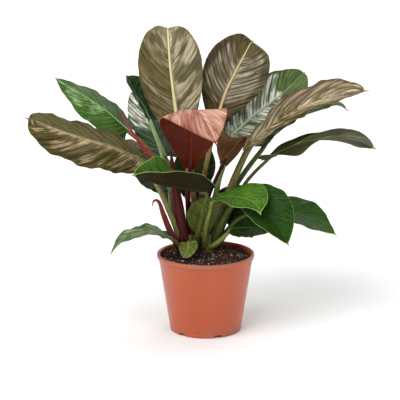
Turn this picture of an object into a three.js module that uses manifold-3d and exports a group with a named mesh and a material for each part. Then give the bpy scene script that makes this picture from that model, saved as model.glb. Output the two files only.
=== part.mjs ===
// A potted imperial red philodendron: a bushy, self-heading aroid with broad bronze and green leaves,
// two young copper leaves and crimson leaf sheaths, growing from three short crowns in a terracotta
// coloured nursery pot.
// Units are millimetres, +Z is up, -Y is the front, and the origin is the middle of the pot's underside.

import * as THREE from 'three';
import { mergeVertices } from 'three/addons/utils/BufferGeometryUtils.js';
import Module from 'manifold-3d';

const wasm = await Module();
wasm.setup();

// Pot
const POT_HEIGHT = 137;
const RIM_RADIUS = 85;
const RIM_DEPTH = 8;
const RIM_OVERHANG = 4;
const STEP_BELOW_RIM = 19;
const STEP_RELIEF = 0.8;
const BASE_RADIUS = 62;
const WALL = 1.6;
const FLOOR = 2;
const FLOOR_RAISE = 3;
const CENTRE_PAD_RADIUS = 16;
const FOOT_WIDTH = 7;
const DRAIN_COUNT = 6;
const DRAIN_WIDTH = 12;
const DRAIN_HEIGHT = 5;
const DRAIN_DEPTH = 14;
const FIRST_DRAIN_TURN = 50;
const FOOT_CORNER = 1;
const STEP_SLOPE = 2;
const RIM_DRAFT = 0.6;
const RIM_CORNER = { width: 1.2, height: 2 };
const RIM_FLARE = { width: 1.4, height: 3 };
const POT_SIDES = 40;

// Compost
const SOIL_EDGE_Z = 127;
const SOIL_CROWN_RISE = 7;
const SOIL_ROUGHNESS = 1.5;
const LUMP_SIZES = { across: 9, back: 7, slanted: 5 };
const SOIL_RINGS = 7;
const SOIL_SIDES = 32;

// The clearance between pieces that touch, and the distance under which vertices are one
const GAP = 0.3;
const MERGE_DISTANCE = 1e-4;

// Crowns: the short stems that carry the leaves, each rising from foot to top
const CROWN_SIDES = 12;
const CROWN_RADIUS = 14;
const CROWN_TOP_RADIUS = 10;
const CROWNS = [
  { name: 'crown_left', foot: [-30, 12, 92], top: [-31, 12, 166] },
  { name: 'crown_right', foot: [6, 20, 92], top: [6, 22, 166] },
  { name: 'crown_back', foot: [-8, 50, 92], top: [-8, 54, 166] },
];

// Leaf blades: thickness, the ridge of the midrib under them, and the drawn-out tip
const BLADE_THICKNESS = 1.1;
const EDGE_THICKNESS = 0.7;
const RIB_AT_BASE = { half: 4, depth: 3.4 };
const RIB_AT_TIP = { half: 0.7, depth: 0.3 };
const RIB_SHARE = 0.25;
const RIB_RADIUS = 5;
const NARROWEST = 0.7;
const TIP_SPIKE = { share: 0.03, half: 2 };
const BLUNT_BASE = 0.1;

// A blade's grid. Rows run along the side veins: each starts at the midrib, a little behind where it
// ends on the edge, and these exponents say how rows are spaced along the midrib and the edge, and how
// late they sweep on towards the tip.
const ROW_LENGTH = 14;
const FEWEST_ROWS = 8;
const MOST_ROWS = 11;
const COLUMNS = [0.55, 1];
const RIB_SPACING = 1.25;
const EDGE_SPACING = 1.4;
const VEIN_SWEEP = 1.5;
const FRAME_STEPS = 60;

// Waved edges: the right edge's waves run ahead of the left edge's by this angle, and both fade out
// over the last quarter of the blade
const WAVE_SHIFT = 1.9;
const WAVE_FADE = 4;

// Petioles: shares of a leaf's radius at the root, at the neck and where they end under the midrib, and
// how much of it the clasping foot adds over its length. They end at LANDING, a share of the midrib.
const PETIOLE_SIDES = 8;
const PETIOLE_STEP = 27;
const FEWEST_STEPS = 3;
const ROOT_SHARE = 1.12;
const NECK_SHARE = 0.8;
const END_SHARE = 0.45;
const FOOT_LENGTH = 55;
const FOOT_SWELL = 0.5;
const LANDING = 0.1;
const NECK_DROP = 0.55;
const LANDING_DROP = 0.5;
const STALK_FACE = [0.31, -0.87, 0.38];

// Sheaths taper to SHEATH_POINT, a share of their radius, by a curve with these two exponents
const SHEATH_POINT = 0.12;
const SHEATH_CURVE = [3, 0.8];

// Colours and roughness
const COLOURS = {
  pot: '#b5573c',
  soil: '#2b1d16',
  crown: '#5d6a35',
  bronze: '#6b5b38',
  green: '#2f6b25',
  fresh: '#5f8f22',
  dark: '#24492b',
  copper: '#9a4a3a',
  crimson: '#6d1527',
  olive: '#6f7440',
};
const PLASTIC_ROUGHNESS = 0.45;
const SOIL_MATTNESS = 0.95;
const CROWN_ROUGHNESS = 0.5;
const LEAF_ROUGHNESS = 0.4;

// Each leaf's petiole runs from its root, inside a crown, to the neck, which is the blade's first point,
// and the blade's midrib runs on from there to the tip.
// face is the way the upper side looks at the neck, and twist turns it on the way to the tip, in degrees.
// fold and cup are the angles by which the left and right halves rise from the midrib and curl on
// towards their edges. roll is how much the fold has grown by the tip. Left and right are as seen from
// the upper side with the tip pointing up.
const LEAVES = [
  { name: 'leaf_tall_left', colour: 'bronze',
    petiole: [[-12, 50, 160], [-26, 48, 252]],
    blade: [[-48, 46, 350], [-56, 54, 406], [-62, 62, 456], [-65, 76, 497], [-66, 96, 515],
      [-64, 116, 514]],
    width: 115, widest: 0.55, ends: [0.5, 0.72], lobe: 0.05, radius: 4.8,
    face: [0.02, -1, 0.12], twist: 0, fold: [14, 10], cup: [8, 8], wave: [2.5, 2.5], waves: 3, phase: 0.4 },
  { name: 'leaf_tall_right', colour: 'bronze',
    petiole: [[-6, 54, 160], [-4, 58, 250]],
    blade: [[17, 62, 352], [33, 66, 404], [50, 72, 440], [65, 80, 467], [77, 92, 488], [84, 104, 494]],
    width: 114, widest: 0.6, ends: [0.75, 0.45], lobe: 0.05, radius: 4.8,
    face: [-0.03, -1, 0.13], twist: 0, fold: [8, 8], cup: [12, 8], wave: [2.5, 2.5], waves: 3, phase: 2 },
  { name: 'leaf_upper_right', colour: 'green',
    petiole: [[8, 28, 156], [24, 50, 260]],
    blade: [[50, 66, 336], [88, 72, 367], [120, 78, 391], [148, 84, 415], [168, 94, 434], [176, 102, 438]],
    width: 96, widest: 0.52, ends: [0.65, 0.6], lobe: 0.07, radius: 5.2,
    face: [-0.1, -0.92, 0.38], twist: 0, fold: [12, 26], cup: [6, 6], wave: [2, 2], waves: 3, phase: 1 },
  { name: 'leaf_right_arching', colour: 'bronze',
    petiole: [[12, 22, 156], [40, 20, 240]],
    blade: [[69, 16, 316], [97, 13, 343], [130, 9, 371], [171, 4, 395], [211, -2, 411], [245, -8, 420],
      [275, -12, 423]],
    width: 84, widest: 0.58, ends: [0.9, 0.5], lobe: 0.04, radius: 6.8,
    face: [-0.62, -0.41, 0.66], twist: -15, fold: [20, 10], cup: [2, 4], wave: [3, 3], waves: 3, phase: 0 },
  { name: 'leaf_right_under', colour: 'dark',
    petiole: [[14, 30, 150], [48, 38, 240]],
    blade: [[98, 44, 316], [129, 50, 345], [164, 54, 368], [199, 57, 381], [230, 58, 387], [249, 56, 377]],
    width: 84, widest: 0.45, ends: [0.7, 0.65], lobe: 0.05, radius: 5.4,
    face: [-0.66, 0, 0.75], twist: 0, fold: [14, 4], cup: [6, 6], wave: [2, 2], waves: 3, phase: 2 },
  { name: 'leaf_right_level', colour: 'bronze',
    petiole: [[14, 14, 142], [60, 2, 248]],
    blade: [[103, -8, 304], [145, -16, 327], [186, -24, 341], [233, -32, 345], [266, -38, 340],
      [287, -41, 328]],
    width: 68, widest: 0.6, ends: [0.65, 0.6], lobe: 0.06, radius: 3.8,
    face: [-0.52, -0.06, 0.85], twist: 0, fold: [6, 4], cup: [8, 4], wave: [3, 12], waves: 1.6, phase: 6.1 },
  { name: 'leaf_front_right', colour: 'fresh',
    petiole: [[0, 17, 142], [-2, 4, 172], [6, -6, 210]],
    blade: [[9, -10, 232], [33, -28, 243], [60, -48, 246], [82, -66, 240], [92, -80, 224]],
    width: 84, widest: 0.68, ends: [0.85, 1.5], lobe: 0.1, radius: 4,
    face: [-0.34, -0.36, 0.87], twist: 0, fold: [-4, 24], cup: [4, 4],
    wave: [1.5, 1.5], waves: 2, phase: 0.5 },
  { name: 'leaf_lower_right', colour: 'dark',
    petiole: [[14, 14, 150], [36, 2, 206]],
    blade: [[55, -10, 236], [76, -24, 233], [97, -40, 220], [119, -56, 199], [140, -70, 168]],
    width: 98, widest: 0.48, ends: [0.85, 0.95], lobe: 0.06, radius: 4.4,
    face: [-0.1, -0.5, 0.86], twist: 0, fold: [26, 30], cup: [2, 4], wave: [1.5, 1.5], waves: 2, phase: 2 },
  { name: 'leaf_far_right_low', colour: 'dark',
    petiole: [[18, 18, 142], [52, 12, 190]],
    blade: [[94, 4, 216], [135, -2, 212], [169, -10, 204], [198, -20, 191], [225, -28, 175]],
    width: 86, widest: 0.46, ends: [0.7, 0.9], lobe: 0.05, radius: 4,
    face: [-0.03, -0.31, 0.95], twist: 0, fold: [10, 10], cup: [2, 2],
    wave: [1.5, 1.5], waves: 2, phase: 0 },
  { name: 'leaf_right_at_soil', colour: 'dark',
    petiole: [[7, 15, 142], [22, 4, 155]],
    blade: [[44, 8, 177], [67, 4, 180], [89, 0, 180], [108, -8, 174]],
    width: 60, widest: 0.48, ends: [0.7, 0.65], lobe: 0.06, radius: 3.6,
    face: [-0.27, -0.48, 0.84], twist: 0, fold: [10, 10], cup: [4, 4],
    wave: [1.2, 1.2], waves: 2, phase: 1 },
  { name: 'leaf_middle_small', colour: 'olive',
    petiole: [[2, 22, 146], [-2, 22, 160]],
    blade: [[-4, 20, 170], [0, 18, 192], [7, 18, 214], [12, 20, 232]],
    width: 76, widest: 0.5, ends: [0.65, 0.5], lobe: 0.06, radius: 4,
    face: [0.08, -0.99, 0.05], twist: 0, fold: [18, 8], cup: [4, 4], wave: [1, 1], waves: 2, phase: 1 },
  { name: 'leaf_front_left', colour: 'fresh',
    petiole: [[-20, 11, 147], [-11, -6, 182], [-3, -19, 226]],
    blade: [[2, -26, 250], [-27, -38, 257], [-67, -54, 268], [-94, -66, 278], [-113, -74, 287],
      [-124, -80, 293]],
    width: 86, widest: 0.5, ends: [0.7, 0.5], lobe: 0.08, radius: 3.8,
    face: [0.05, 0.35, 0.94], twist: -28, fold: [44, 58], cup: [6, 10],
    wave: [2, 12], waves: 1, phase: 0.93 },
  { name: 'leaf_left_wide', colour: 'bronze',
    petiole: [[-38, 6, 146], [-60, -6, 205], [-84, -10, 260]],
    blade: [[-112, -12, 305], [-156, -20, 328], [-199, -28, 343], [-245, -36, 360], [-278, -42, 374],
      [-302, -46, 383]],
    width: 100, widest: 0.5, ends: [0.42, 0.35], lobe: 0.06, radius: 4.8,
    face: [0.43, -0.55, 0.72], twist: 0, fold: [-8, -14], cup: [-24, -8],
    wave: [3, 3], waves: 3.5, phase: 1 },
  { name: 'leaf_left_upper', colour: 'green',
    petiole: [[-38, 20, 150], [-64, 33, 236], [-98, 41, 308]],
    blade: [[-135, 45, 345], [-173, 51, 377], [-200, 55, 396], [-232, 61, 416], [-263, 66, 434]],
    width: 80, widest: 0.4, ends: [0.6, 0.85], lobe: 0.06, radius: 4.4,
    face: [0.39, -0.56, 0.73], twist: 0, fold: [-8, -12], cup: [-8, -6], wave: [2, 2], waves: 3, phase: 1 },
  { name: 'leaf_upper_left_dark', colour: 'dark',
    petiole: [[-40, 12, 146], [-57, 8, 200], [-65, 8, 258], [-79, 18, 318]],
    blade: [[-98, 36, 366], [-109, 48, 388], [-121, 58, 406], [-131, 66, 424], [-138, 72, 438]],
    width: 78, widest: 0.5, ends: [0.6, 0.5], lobe: 0.1, radius: 3.2,
    face: [0.46, -0.7, 0.55], twist: 0, fold: [46, 10], cup: [4, 4], wave: [1.5, 1.5], waves: 2, phase: 1 },
  { name: 'leaf_young_large', colour: 'copper',
    petiole: [[-24, 18, 158], [-31, 24, 220]],
    blade: [[-27, -6, 290], [-25, -14, 340], [-23, -26, 379], [-18, -44, 395], [-2, -68, 380],
      [18, -84, 342]],
    width: 122, widest: 0.55, ends: [1, 0.9], lobe: 0.02, radius: 4.6,
    face: [0, 1, 0.1], twist: 46, fold: [-10, -12], cup: [-4, -4], roll: [0, 70], wave: [1, 1], waves: 2,
    phase: 1 },
  { name: 'leaf_young_small', colour: 'copper',
    petiole: [[2, 26, 162], [4, 32, 222], [18, 22, 264]],
    blade: [[31, 14, 292], [42, 11, 321], [47, 2, 338], [42, -11, 339], [32, -21, 325], [24, -25, 303]],
    width: 46, widest: 0.5, ends: [0.9, 0.9], lobe: 0.03, radius: 3.6,
    face: [0.15, 0.98, 0.09], twist: 0, fold: [14, 14], cup: [10, 10], wave: [1, 1], waves: 2, phase: 1 },
  { name: 'leaf_left_inner', colour: 'dark',
    petiole: [[-40, 16, 146], [-54, 20, 206]],
    blade: [[-65, 18, 250], [-84, 14, 259], [-105, 8, 267], [-123, 2, 275]],
    width: 54, widest: 0.45, ends: [0.6, 0.7], lobe: 0.06, radius: 3.4,
    face: [0.43, -0.3, 0.85], twist: 0, fold: [-6, -6], cup: [-4, -4], wave: [1, 1], waves: 2, phase: 1 },
  { name: 'leaf_left_low', colour: 'olive',
    petiole: [[-36, 4, 136], [-46, -6, 152]],
    blade: [[-58, -18, 168], [-92, -38, 184], [-128, -54, 182], [-150, -60, 168], [-162, -62, 150]],
    width: 46, widest: 0.42, ends: [0.6, 0.75], lobe: 0.04, radius: 3.4,
    face: [0.3, -0.2, 0.93], twist: 20, fold: [6, 6], cup: [6, 6], wave: [2, 2], waves: 2.5, phase: 1 },
  { name: 'leaf_front_small', colour: 'fresh',
    petiole: [[-30, 8, 142], [-30, -6, 156]],
    blade: [[-31, -14, 159], [-30, -25, 153], [-34, -34, 145], [-39, -38, 138]],
    width: 34, widest: 0.4, ends: [0.6, 0.6], lobe: 0.06, radius: 2.6,
    face: [-0.1, -0.8, 0.6], twist: 0, fold: [6, 6], cup: [4, 4], wave: [0.8, 0.8], waves: 2, phase: 1 },
  { name: 'leaf_middle_dark', colour: 'dark',
    petiole: [[10, 36, 142], [22, 42, 164]],
    blade: [[34, 46, 182], [48, 47, 206], [60, 48, 228], [70, 50, 246]],
    width: 74, widest: 0.5, ends: [0.6, 0.7], lobe: 0.06, radius: 3.6,
    face: [-0.3, -0.9, 0.3], twist: 0, fold: [10, 10], cup: [4, 4], wave: [1, 1], waves: 2, phase: 1 },
  { name: 'leaf_middle_back', colour: 'dark',
    petiole: [[-16, 62, 150], [-20, 70, 190]],
    blade: [[-24, 72, 226], [-22, 72, 262], [-16, 74, 298], [-8, 78, 330]],
    width: 76, widest: 0.5, ends: [0.6, 0.7], lobe: 0.06, radius: 4,
    face: [0.1, -0.98, 0.1], twist: 0, fold: [12, 12], cup: [4, 4], wave: [1, 1], waves: 2, phase: 0 },
  { name: 'leaf_back_left', colour: 'green',
    petiole: [[-14, 56, 152], [-38, 80, 230]],
    blade: [[-72, 108, 286], [-90, 148, 322], [-108, 180, 360], [-128, 208, 398]],
    width: 90, widest: 0.5, ends: [0.65, 0.6], lobe: 0.06, radius: 4.4,
    face: [0.2, -0.7, 0.6], twist: 0, fold: [10, 10], cup: [4, 4], wave: [2.5, 2.5], waves: 3, phase: 1 },
  { name: 'leaf_back_right', colour: 'green',
    petiole: [[0, 56, 152], [22, 82, 240]],
    blade: [[44, 112, 300], [76, 165, 348], [98, 205, 372], [116, 240, 380]],
    width: 100, widest: 0.5, ends: [0.65, 0.6], lobe: 0.06, radius: 4.4,
    face: [-0.1, -0.35, 0.93], twist: 0, fold: [10, 10], cup: [4, 4],
    wave: [2.5, 2.5], waves: 3, phase: 0 },
  { name: 'leaf_back_middle', colour: 'dark',
    petiole: [[-8, 62, 150], [-14, 86, 228]],
    blade: [[-18, 112, 280], [-22, 160, 314], [-26, 210, 328], [-30, 255, 322]],
    width: 84, widest: 0.5, ends: [0.65, 0.6], lobe: 0.06, radius: 4.4,
    face: [0, -0.4, 0.92], twist: 0, fold: [10, 10], cup: [4, 4], wave: [2.5, 2.5], waves: 3, phase: 2 },
  { name: 'leaf_back_right_low', colour: 'green',
    petiole: [[12, 34, 142], [24, 46, 170]],
    blade: [[42, 62, 192], [78, 98, 214], [104, 126, 216], [126, 152, 204]],
    width: 78, widest: 0.48, ends: [0.65, 0.65], lobe: 0.06, radius: 3.8,
    face: [-0.2, -0.3, 0.93], twist: 0, fold: [8, 8], cup: [4, 4], wave: [2, 2], waves: 2, phase: 2 },
  { name: 'leaf_back_left_low', colour: 'bronze',
    petiole: [[-40, 24, 148], [-66, 60, 222]],
    blade: [[-98, 94, 268], [-144, 122, 290], [-182, 140, 296], [-216, 154, 290]],
    width: 84, widest: 0.48, ends: [0.65, 0.65], lobe: 0.06, radius: 4,
    face: [0.3, -0.3, 0.9], twist: 0, fold: [8, 8], cup: [4, 4], wave: [2, 2], waves: 2, phase: 1 },
];

// Leaf sheaths and the rolled new leaf: stalks that run from a crown to a point
const SHEATHS = [
  { name: 'sheath_tall', colour: 'crimson', radius: 10,
    points: [[-36, 4, 136], [-44, 0, 200], [-54, 0, 262], [-60, 0, 318]] },
  { name: 'sheath_short', colour: 'crimson', radius: 6,
    points: [[-42, 2, 138], [-60, -14, 176], [-72, -19, 208], [-80, -22, 232], [-88, -25, 236],
      [-92, -27, 226]] },
  { name: 'new_leaf_spike', colour: 'crimson', radius: 4.4,
    points: [[-42, 16, 146], [-62, 22, 222], [-96, 21, 298], [-124, 18, 343], [-150, 16, 388]] },
];

function vector(p) {
  return new THREE.Vector3(p[0], p[1], p[2]);
}

function lerp(a, b, t) {
  return a + (b - a) * t;
}

function radians(degrees) {
  return (degrees * Math.PI) / 180;
}

// A closed geometry from rings of points that each run once round the body. The first half of a ring
// is the body's upper side and the second half its lower side, and both are split into triangles alike.
function loft(rings) {
  const count = rings[0].length;
  const half = count / 2;
  const positions = rings.flat().flatMap((p) => [p.x, p.y, p.z]);
  const faces = [];
  for (let i = 0; i < rings.length - 1; i++) {
    for (let k = 0; k < count; k++) {
      const next = (k + 1) % count;
      const [a, b] = [i * count + k, i * count + next];
      const [c, d] = [a + count, b + count];
      if (k < half) faces.push(a, b, d, a, d, c);
      else faces.push(a, b, c, b, d, c);
    }
  }
  const last = (rings.length - 1) * count;
  for (let k = 0; k < half - 1; k++) {
    const [a, b] = [k, k + 1];
    const [c, d] = [count - 1 - k, count - 2 - k];
    faces.push(a, c, d, a, d, b);
    faces.push(last + a, last + d, last + c, last + a, last + b, last + d);
  }
  const geometry = new THREE.BufferGeometry();
  geometry.setAttribute('position', new THREE.Float32BufferAttribute(positions, 3));
  geometry.setIndex(faces);
  return geometry;
}

// A solid for joining and cutting, from a closed geometry with its faces pointing out.
function solid(geometry) {
  const bare = geometry.clone();
  bare.deleteAttribute('normal');
  bare.deleteAttribute('uv');
  const merged = mergeVertices(bare, MERGE_DISTANCE);
  const mesh = new wasm.Mesh({
    numProp: 3,
    vertProperties: new Float32Array(merged.attributes.position.array),
    triVerts: new Uint32Array(merged.index.array),
  });
  return new wasm.Manifold(mesh);
}

// The largest body of a solid, as a geometry. Any scrap that a cut left loose is dropped.
function geometryOf(body) {
  const [whole] = body.decompose().sort((a, b) => b.volume() - a.volume());
  const mesh = whole.getMesh();
  const geometry = new THREE.BufferGeometry();
  geometry.setAttribute('position', new THREE.Float32BufferAttribute(mesh.vertProperties, 3));
  geometry.setIndex(new THREE.BufferAttribute(mesh.triVerts, 1));
  geometry.computeVertexNormals();
  return geometry;
}

// A smooth line through points, with the direction and the upper side's direction at each step.
// The frame is carried along without turning, and then turned by twist on the way.
function framedLine(points, face, twist) {
  const curve = new THREE.CatmullRomCurve3(points.map(vector), false, 'catmullrom', 0.5);
  const frames = [];
  let up = vector(face);
  for (let i = 0; i <= FRAME_STEPS; i++) {
    const t = i / FRAME_STEPS;
    const along = curve.getTangentAt(t).normalize();
    up = up.clone().addScaledVector(along, -up.dot(along)).normalize();
    const turned = up.clone().applyAxisAngle(along, radians(twist) * t);
    frames.push({ centre: curve.getPointAt(t), along, up: turned, side: along.clone().cross(turned) });
  }
  return { frames, length: curve.getLength() };
}

// The frame at a share of a line's length. Before the start it goes straight back.
function frameAt(line, share) {
  const place = Math.min(Math.max(share, 0), 1) * FRAME_STEPS;
  const i = Math.min(Math.floor(place), FRAME_STEPS - 1);
  const [a, b] = [line.frames[i], line.frames[i + 1]];
  const mix = (key) => a[key].clone().lerp(b[key], place - i);
  const centre = mix('centre');
  if (share < 0) centre.addScaledVector(a.along, share * line.length);
  return { centre, up: mix('up').normalize(), side: mix('side').normalize() };
}

// Where a blade's half lies at a distance from the midrib: out to the side and up.
function sectionAt(distance, halfWidth, fold, cup) {
  const start = radians(fold);
  const bend = radians(cup) / halfWidth;
  if (Math.abs(bend) < 1e-6) return [distance * Math.cos(start), distance * Math.sin(start)];
  const end = start + bend * distance;
  return [(Math.sin(end) - Math.sin(start)) / bend, (Math.cos(start) - Math.cos(end)) / bend];
}

// How far along the outline a row ends, from the hindmost point of the blade's base to its tip.
function outlineShare(row) {
  return 1 - (1 - row) ** EDGE_SPACING;
}

// Half the blade's width at a share of its outline, from the hindmost point of its base to the tip.
// The outline is a half sine wave, shifted to be widest where the leaf is, and rounder or sharper at
// each end by the leaf's two exponents.
function halfWidthAt(leaf, share) {
  const stretch = (value) => lerp(BLUNT_BASE, 1, value / (1 - TIP_SPIKE.share));
  const shift = Math.log(0.5) / Math.log(stretch(leaf.widest));
  const wave = Math.sin(Math.PI * Math.min(1, stretch(share) ** shift));
  const shape = wave ** leaf.ends[share < leaf.widest ? 0 : 1];
  const spike = TIP_SPIKE.half * Math.min(1, (1 - share) / TIP_SPIKE.share);
  return Math.max(NARROWEST, (leaf.width / 2 - TIP_SPIKE.half) * shape + spike);
}

// A point of the blade's middle surface, and the direction of its thickness. row runs from base to
// tip along the side veins, and column from -1 at the left edge to 1 at the right edge.
function bladePoint(leaf, line, row, column, distance) {
  const reach = Math.abs(column);
  const start = row ** RIB_SPACING;
  const end = lerp(-leaf.lobe, 1, outlineShare(row));
  const share = lerp(start, end, reach ** VEIN_SWEEP);
  const frame = frameAt(line, share);
  const right = column > 0 ? 1 : 0;
  const fold = leaf.fold[right] + (leaf.roll ? leaf.roll[right] * row ** 2 : 0);
  const [out, rise] = sectionAt(distance, leaf.width / 2, fold, leaf.cup[right]);
  const turn = 2 * Math.PI * leaf.waves * end + leaf.phase + right * WAVE_SHIFT;
  const wave = leaf.wave[right] * reach ** 2 * Math.sin(turn) * Math.min(1, WAVE_FADE * (1 - end));
  const point = frame.centre
    .clone()
    .addScaledVector(frame.side, Math.sign(column) * out)
    .addScaledVector(frame.up, rise + wave);
  const slope = radians(fold + (leaf.cup[right] * distance * 2) / leaf.width);
  const across = frame.side.clone().multiplyScalar(-Math.sign(column) * Math.sin(slope));
  const normal = across.addScaledVector(frame.up, Math.cos(slope)).normalize();
  return { point, normal };
}

// The blade as a closed geometry: a thin curved sheet with a raised midrib under it.
function bladeGeometry(leaf, line) {
  const rows = Math.round(Math.min(MOST_ROWS, Math.max(FEWEST_ROWS, line.length / ROW_LENGTH)));
  const rings = [];
  for (let i = 0; i <= rows; i++) {
    const row = i / rows;
    const half = halfWidthAt(leaf, outlineShare(row));
    const rib = Math.min(lerp(RIB_AT_BASE.half, RIB_AT_TIP.half, row), half * RIB_SHARE);
    const depth = (lerp(RIB_AT_BASE.depth, RIB_AT_TIP.depth, Math.sqrt(row)) * leaf.radius) / RIB_RADIUS;
    const distances = [rib, ...COLUMNS.map((share) => share * half)];
    const columns = distances.map((distance) => distance / half);
    const stations = [
      ...columns.map((c, k) => [-c, distances[k]]).reverse(),
      [0, 0],
      ...columns.map((c, k) => [c, distances[k]]),
    ];
    const upper = [];
    const lower = [];
    for (const [column, distance] of stations) {
      const { point, normal } = bladePoint(leaf, line, row, column, distance);
      const thickness = lerp(BLADE_THICKNESS, EDGE_THICKNESS, Math.abs(column));
      const under = thickness / 2 + (column === 0 ? depth : 0);
      upper.push(point.clone().addScaledVector(normal, thickness / 2));
      lower.push(point.clone().addScaledVector(normal, -under));
    }
    rings.push([...upper, ...lower.reverse()]);
  }
  return loft(rings);
}

// A round, tapering stalk along a line. radiusAt gives its radius at a share of its length.
function stalkGeometry(points, radiusAt, sides = PETIOLE_SIDES) {
  const line = framedLine(points, STALK_FACE, 0);
  const steps = Math.max(FEWEST_STEPS, Math.round(line.length / PETIOLE_STEP));
  const rings = [];
  for (let i = 0; i <= steps; i++) {
    const share = i / steps;
    const { centre, up, side } = frameAt(line, share);
    const radius = radiusAt(share, line.length);
    const ring = [];
    for (let k = 0; k < sides; k++) {
      const turn = (2 * Math.PI * (k + 0.5)) / sides;
      ring.push(
        centre
          .clone()
          .addScaledVector(side, -Math.cos(turn) * radius)
          .addScaledVector(up, Math.sin(turn) * radius),
      );
    }
    rings.push(ring);
  }
  return loft(rings);
}

// The petiole's points, from its root to a little way along under the midrib.
function petiolePoints(leaf, line) {
  const neck = frameAt(line, 0);
  const landing = frameAt(line, LANDING);
  const under = (frame, drop) => frame.centre.clone().addScaledVector(frame.up, -drop).toArray();
  const atNeck = under(neck, leaf.radius * NECK_DROP);
  const atLanding = under(landing, leaf.radius * LANDING_DROP);
  return [...leaf.petiole, atNeck, atLanding];
}

function petioleGeometry(leaf, line, extra) {
  const radiusAt = (share, length) => {
    const foot = Math.max(0, 1 - (share * length) / FOOT_LENGTH);
    const taper = lerp(ROOT_SHARE, share < 1 ? NECK_SHARE : END_SHARE, share);
    return leaf.radius * (taper + FOOT_SWELL * foot) + extra;
  };
  return stalkGeometry(petiolePoints(leaf, line), radiusAt);
}

function sheathGeometry(sheath, extra) {
  const [rise, fall] = SHEATH_CURVE;
  const radiusAt = (share) => sheath.radius * Math.max(SHEATH_POINT, (1 - share ** rise) ** fall) + extra;
  return stalkGeometry(sheath.points, radiusAt);
}

function crownGeometry(crown, extra) {
  const radiusAt = (share) => lerp(CROWN_RADIUS, CROWN_TOP_RADIUS, share ** 2) + extra;
  return stalkGeometry([crown.foot, crown.top], radiusAt, CROWN_SIDES);
}

const group = new THREE.Group();

function addPiece(name, geometry, colour, roughness) {
  const material = new THREE.MeshStandardMaterial({ color: colour, roughness, metalness: 0 });
  const mesh = new THREE.Mesh(geometry, material);
  mesh.name = name;
  group.add(mesh);
}

// Pot
function potProfile() {
  const neck = RIM_RADIUS - RIM_OVERHANG;
  const stepZ = POT_HEIGHT - STEP_BELOW_RIM;
  const bodyAt = (z) => lerp(BASE_RADIUS, neck - STEP_RELIEF, z / stepZ);
  const outer = [
    [0, 0],
    [CENTRE_PAD_RADIUS, 0],
    [CENTRE_PAD_RADIUS, FLOOR_RAISE],
    [BASE_RADIUS - FOOT_WIDTH, FLOOR_RAISE],
    [BASE_RADIUS - FOOT_WIDTH, 0],
    [BASE_RADIUS - FOOT_CORNER, 0],
    [bodyAt(FOOT_CORNER), FOOT_CORNER],
    [bodyAt(stepZ), stepZ],
    [neck, stepZ + STEP_SLOPE],
    [neck + RIM_DRAFT, POT_HEIGHT - RIM_DEPTH],
    [RIM_RADIUS - RIM_DRAFT, POT_HEIGHT - RIM_DEPTH + FOOT_CORNER],
    [RIM_RADIUS, POT_HEIGHT - RIM_CORNER.height],
    [RIM_RADIUS - RIM_CORNER.width, POT_HEIGHT],
  ];
  const inner = [
    [neck - WALL + RIM_FLARE.width, POT_HEIGHT],
    [neck - WALL, POT_HEIGHT - RIM_FLARE.height],
    [bodyAt(stepZ) - WALL, stepZ],
    [bodyAt(FLOOR_RAISE + FLOOR) - WALL, FLOOR_RAISE + FLOOR],
    [0, FLOOR_RAISE + FLOOR],
  ];
  return [...outer, ...inner].map(([x, y]) => new THREE.Vector2(x, y));
}

function upright(geometry) {
  return geometry.rotateX(Math.PI / 2);
}

function potBody() {
  let pot = solid(upright(new THREE.LatheGeometry(potProfile(), POT_SIDES)));
  for (let i = 0; i < DRAIN_COUNT; i++) {
    const turn = radians(FIRST_DRAIN_TURN + (360 * i) / DRAIN_COUNT);
    const cutter = new THREE.BoxGeometry(DRAIN_DEPTH * 2, DRAIN_WIDTH, DRAIN_HEIGHT * 2);
    cutter.translate(BASE_RADIUS, 0, 0).rotateZ(turn);
    pot = pot.subtract(solid(cutter));
  }
  return pot;
}

// Compost: it fills the pot to a low, uneven mound
function soilRadiusAt(z) {
  const stepZ = POT_HEIGHT - STEP_BELOW_RIM;
  const neck = RIM_RADIUS - RIM_OVERHANG;
  return lerp(BASE_RADIUS, neck - STEP_RELIEF, z / stepZ) - WALL - GAP;
}

function soilHeight(x, y) {
  const reach = Math.hypot(x, y) / RIM_RADIUS;
  const { across, back, slanted } = LUMP_SIZES;
  const lumps = Math.sin(x / across + 1) * Math.cos(y / back) + Math.sin((x + y) / slanted) / 2;
  return SOIL_EDGE_Z + SOIL_CROWN_RISE * (1 - reach ** 2) + SOIL_ROUGHNESS * lumps;
}

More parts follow.
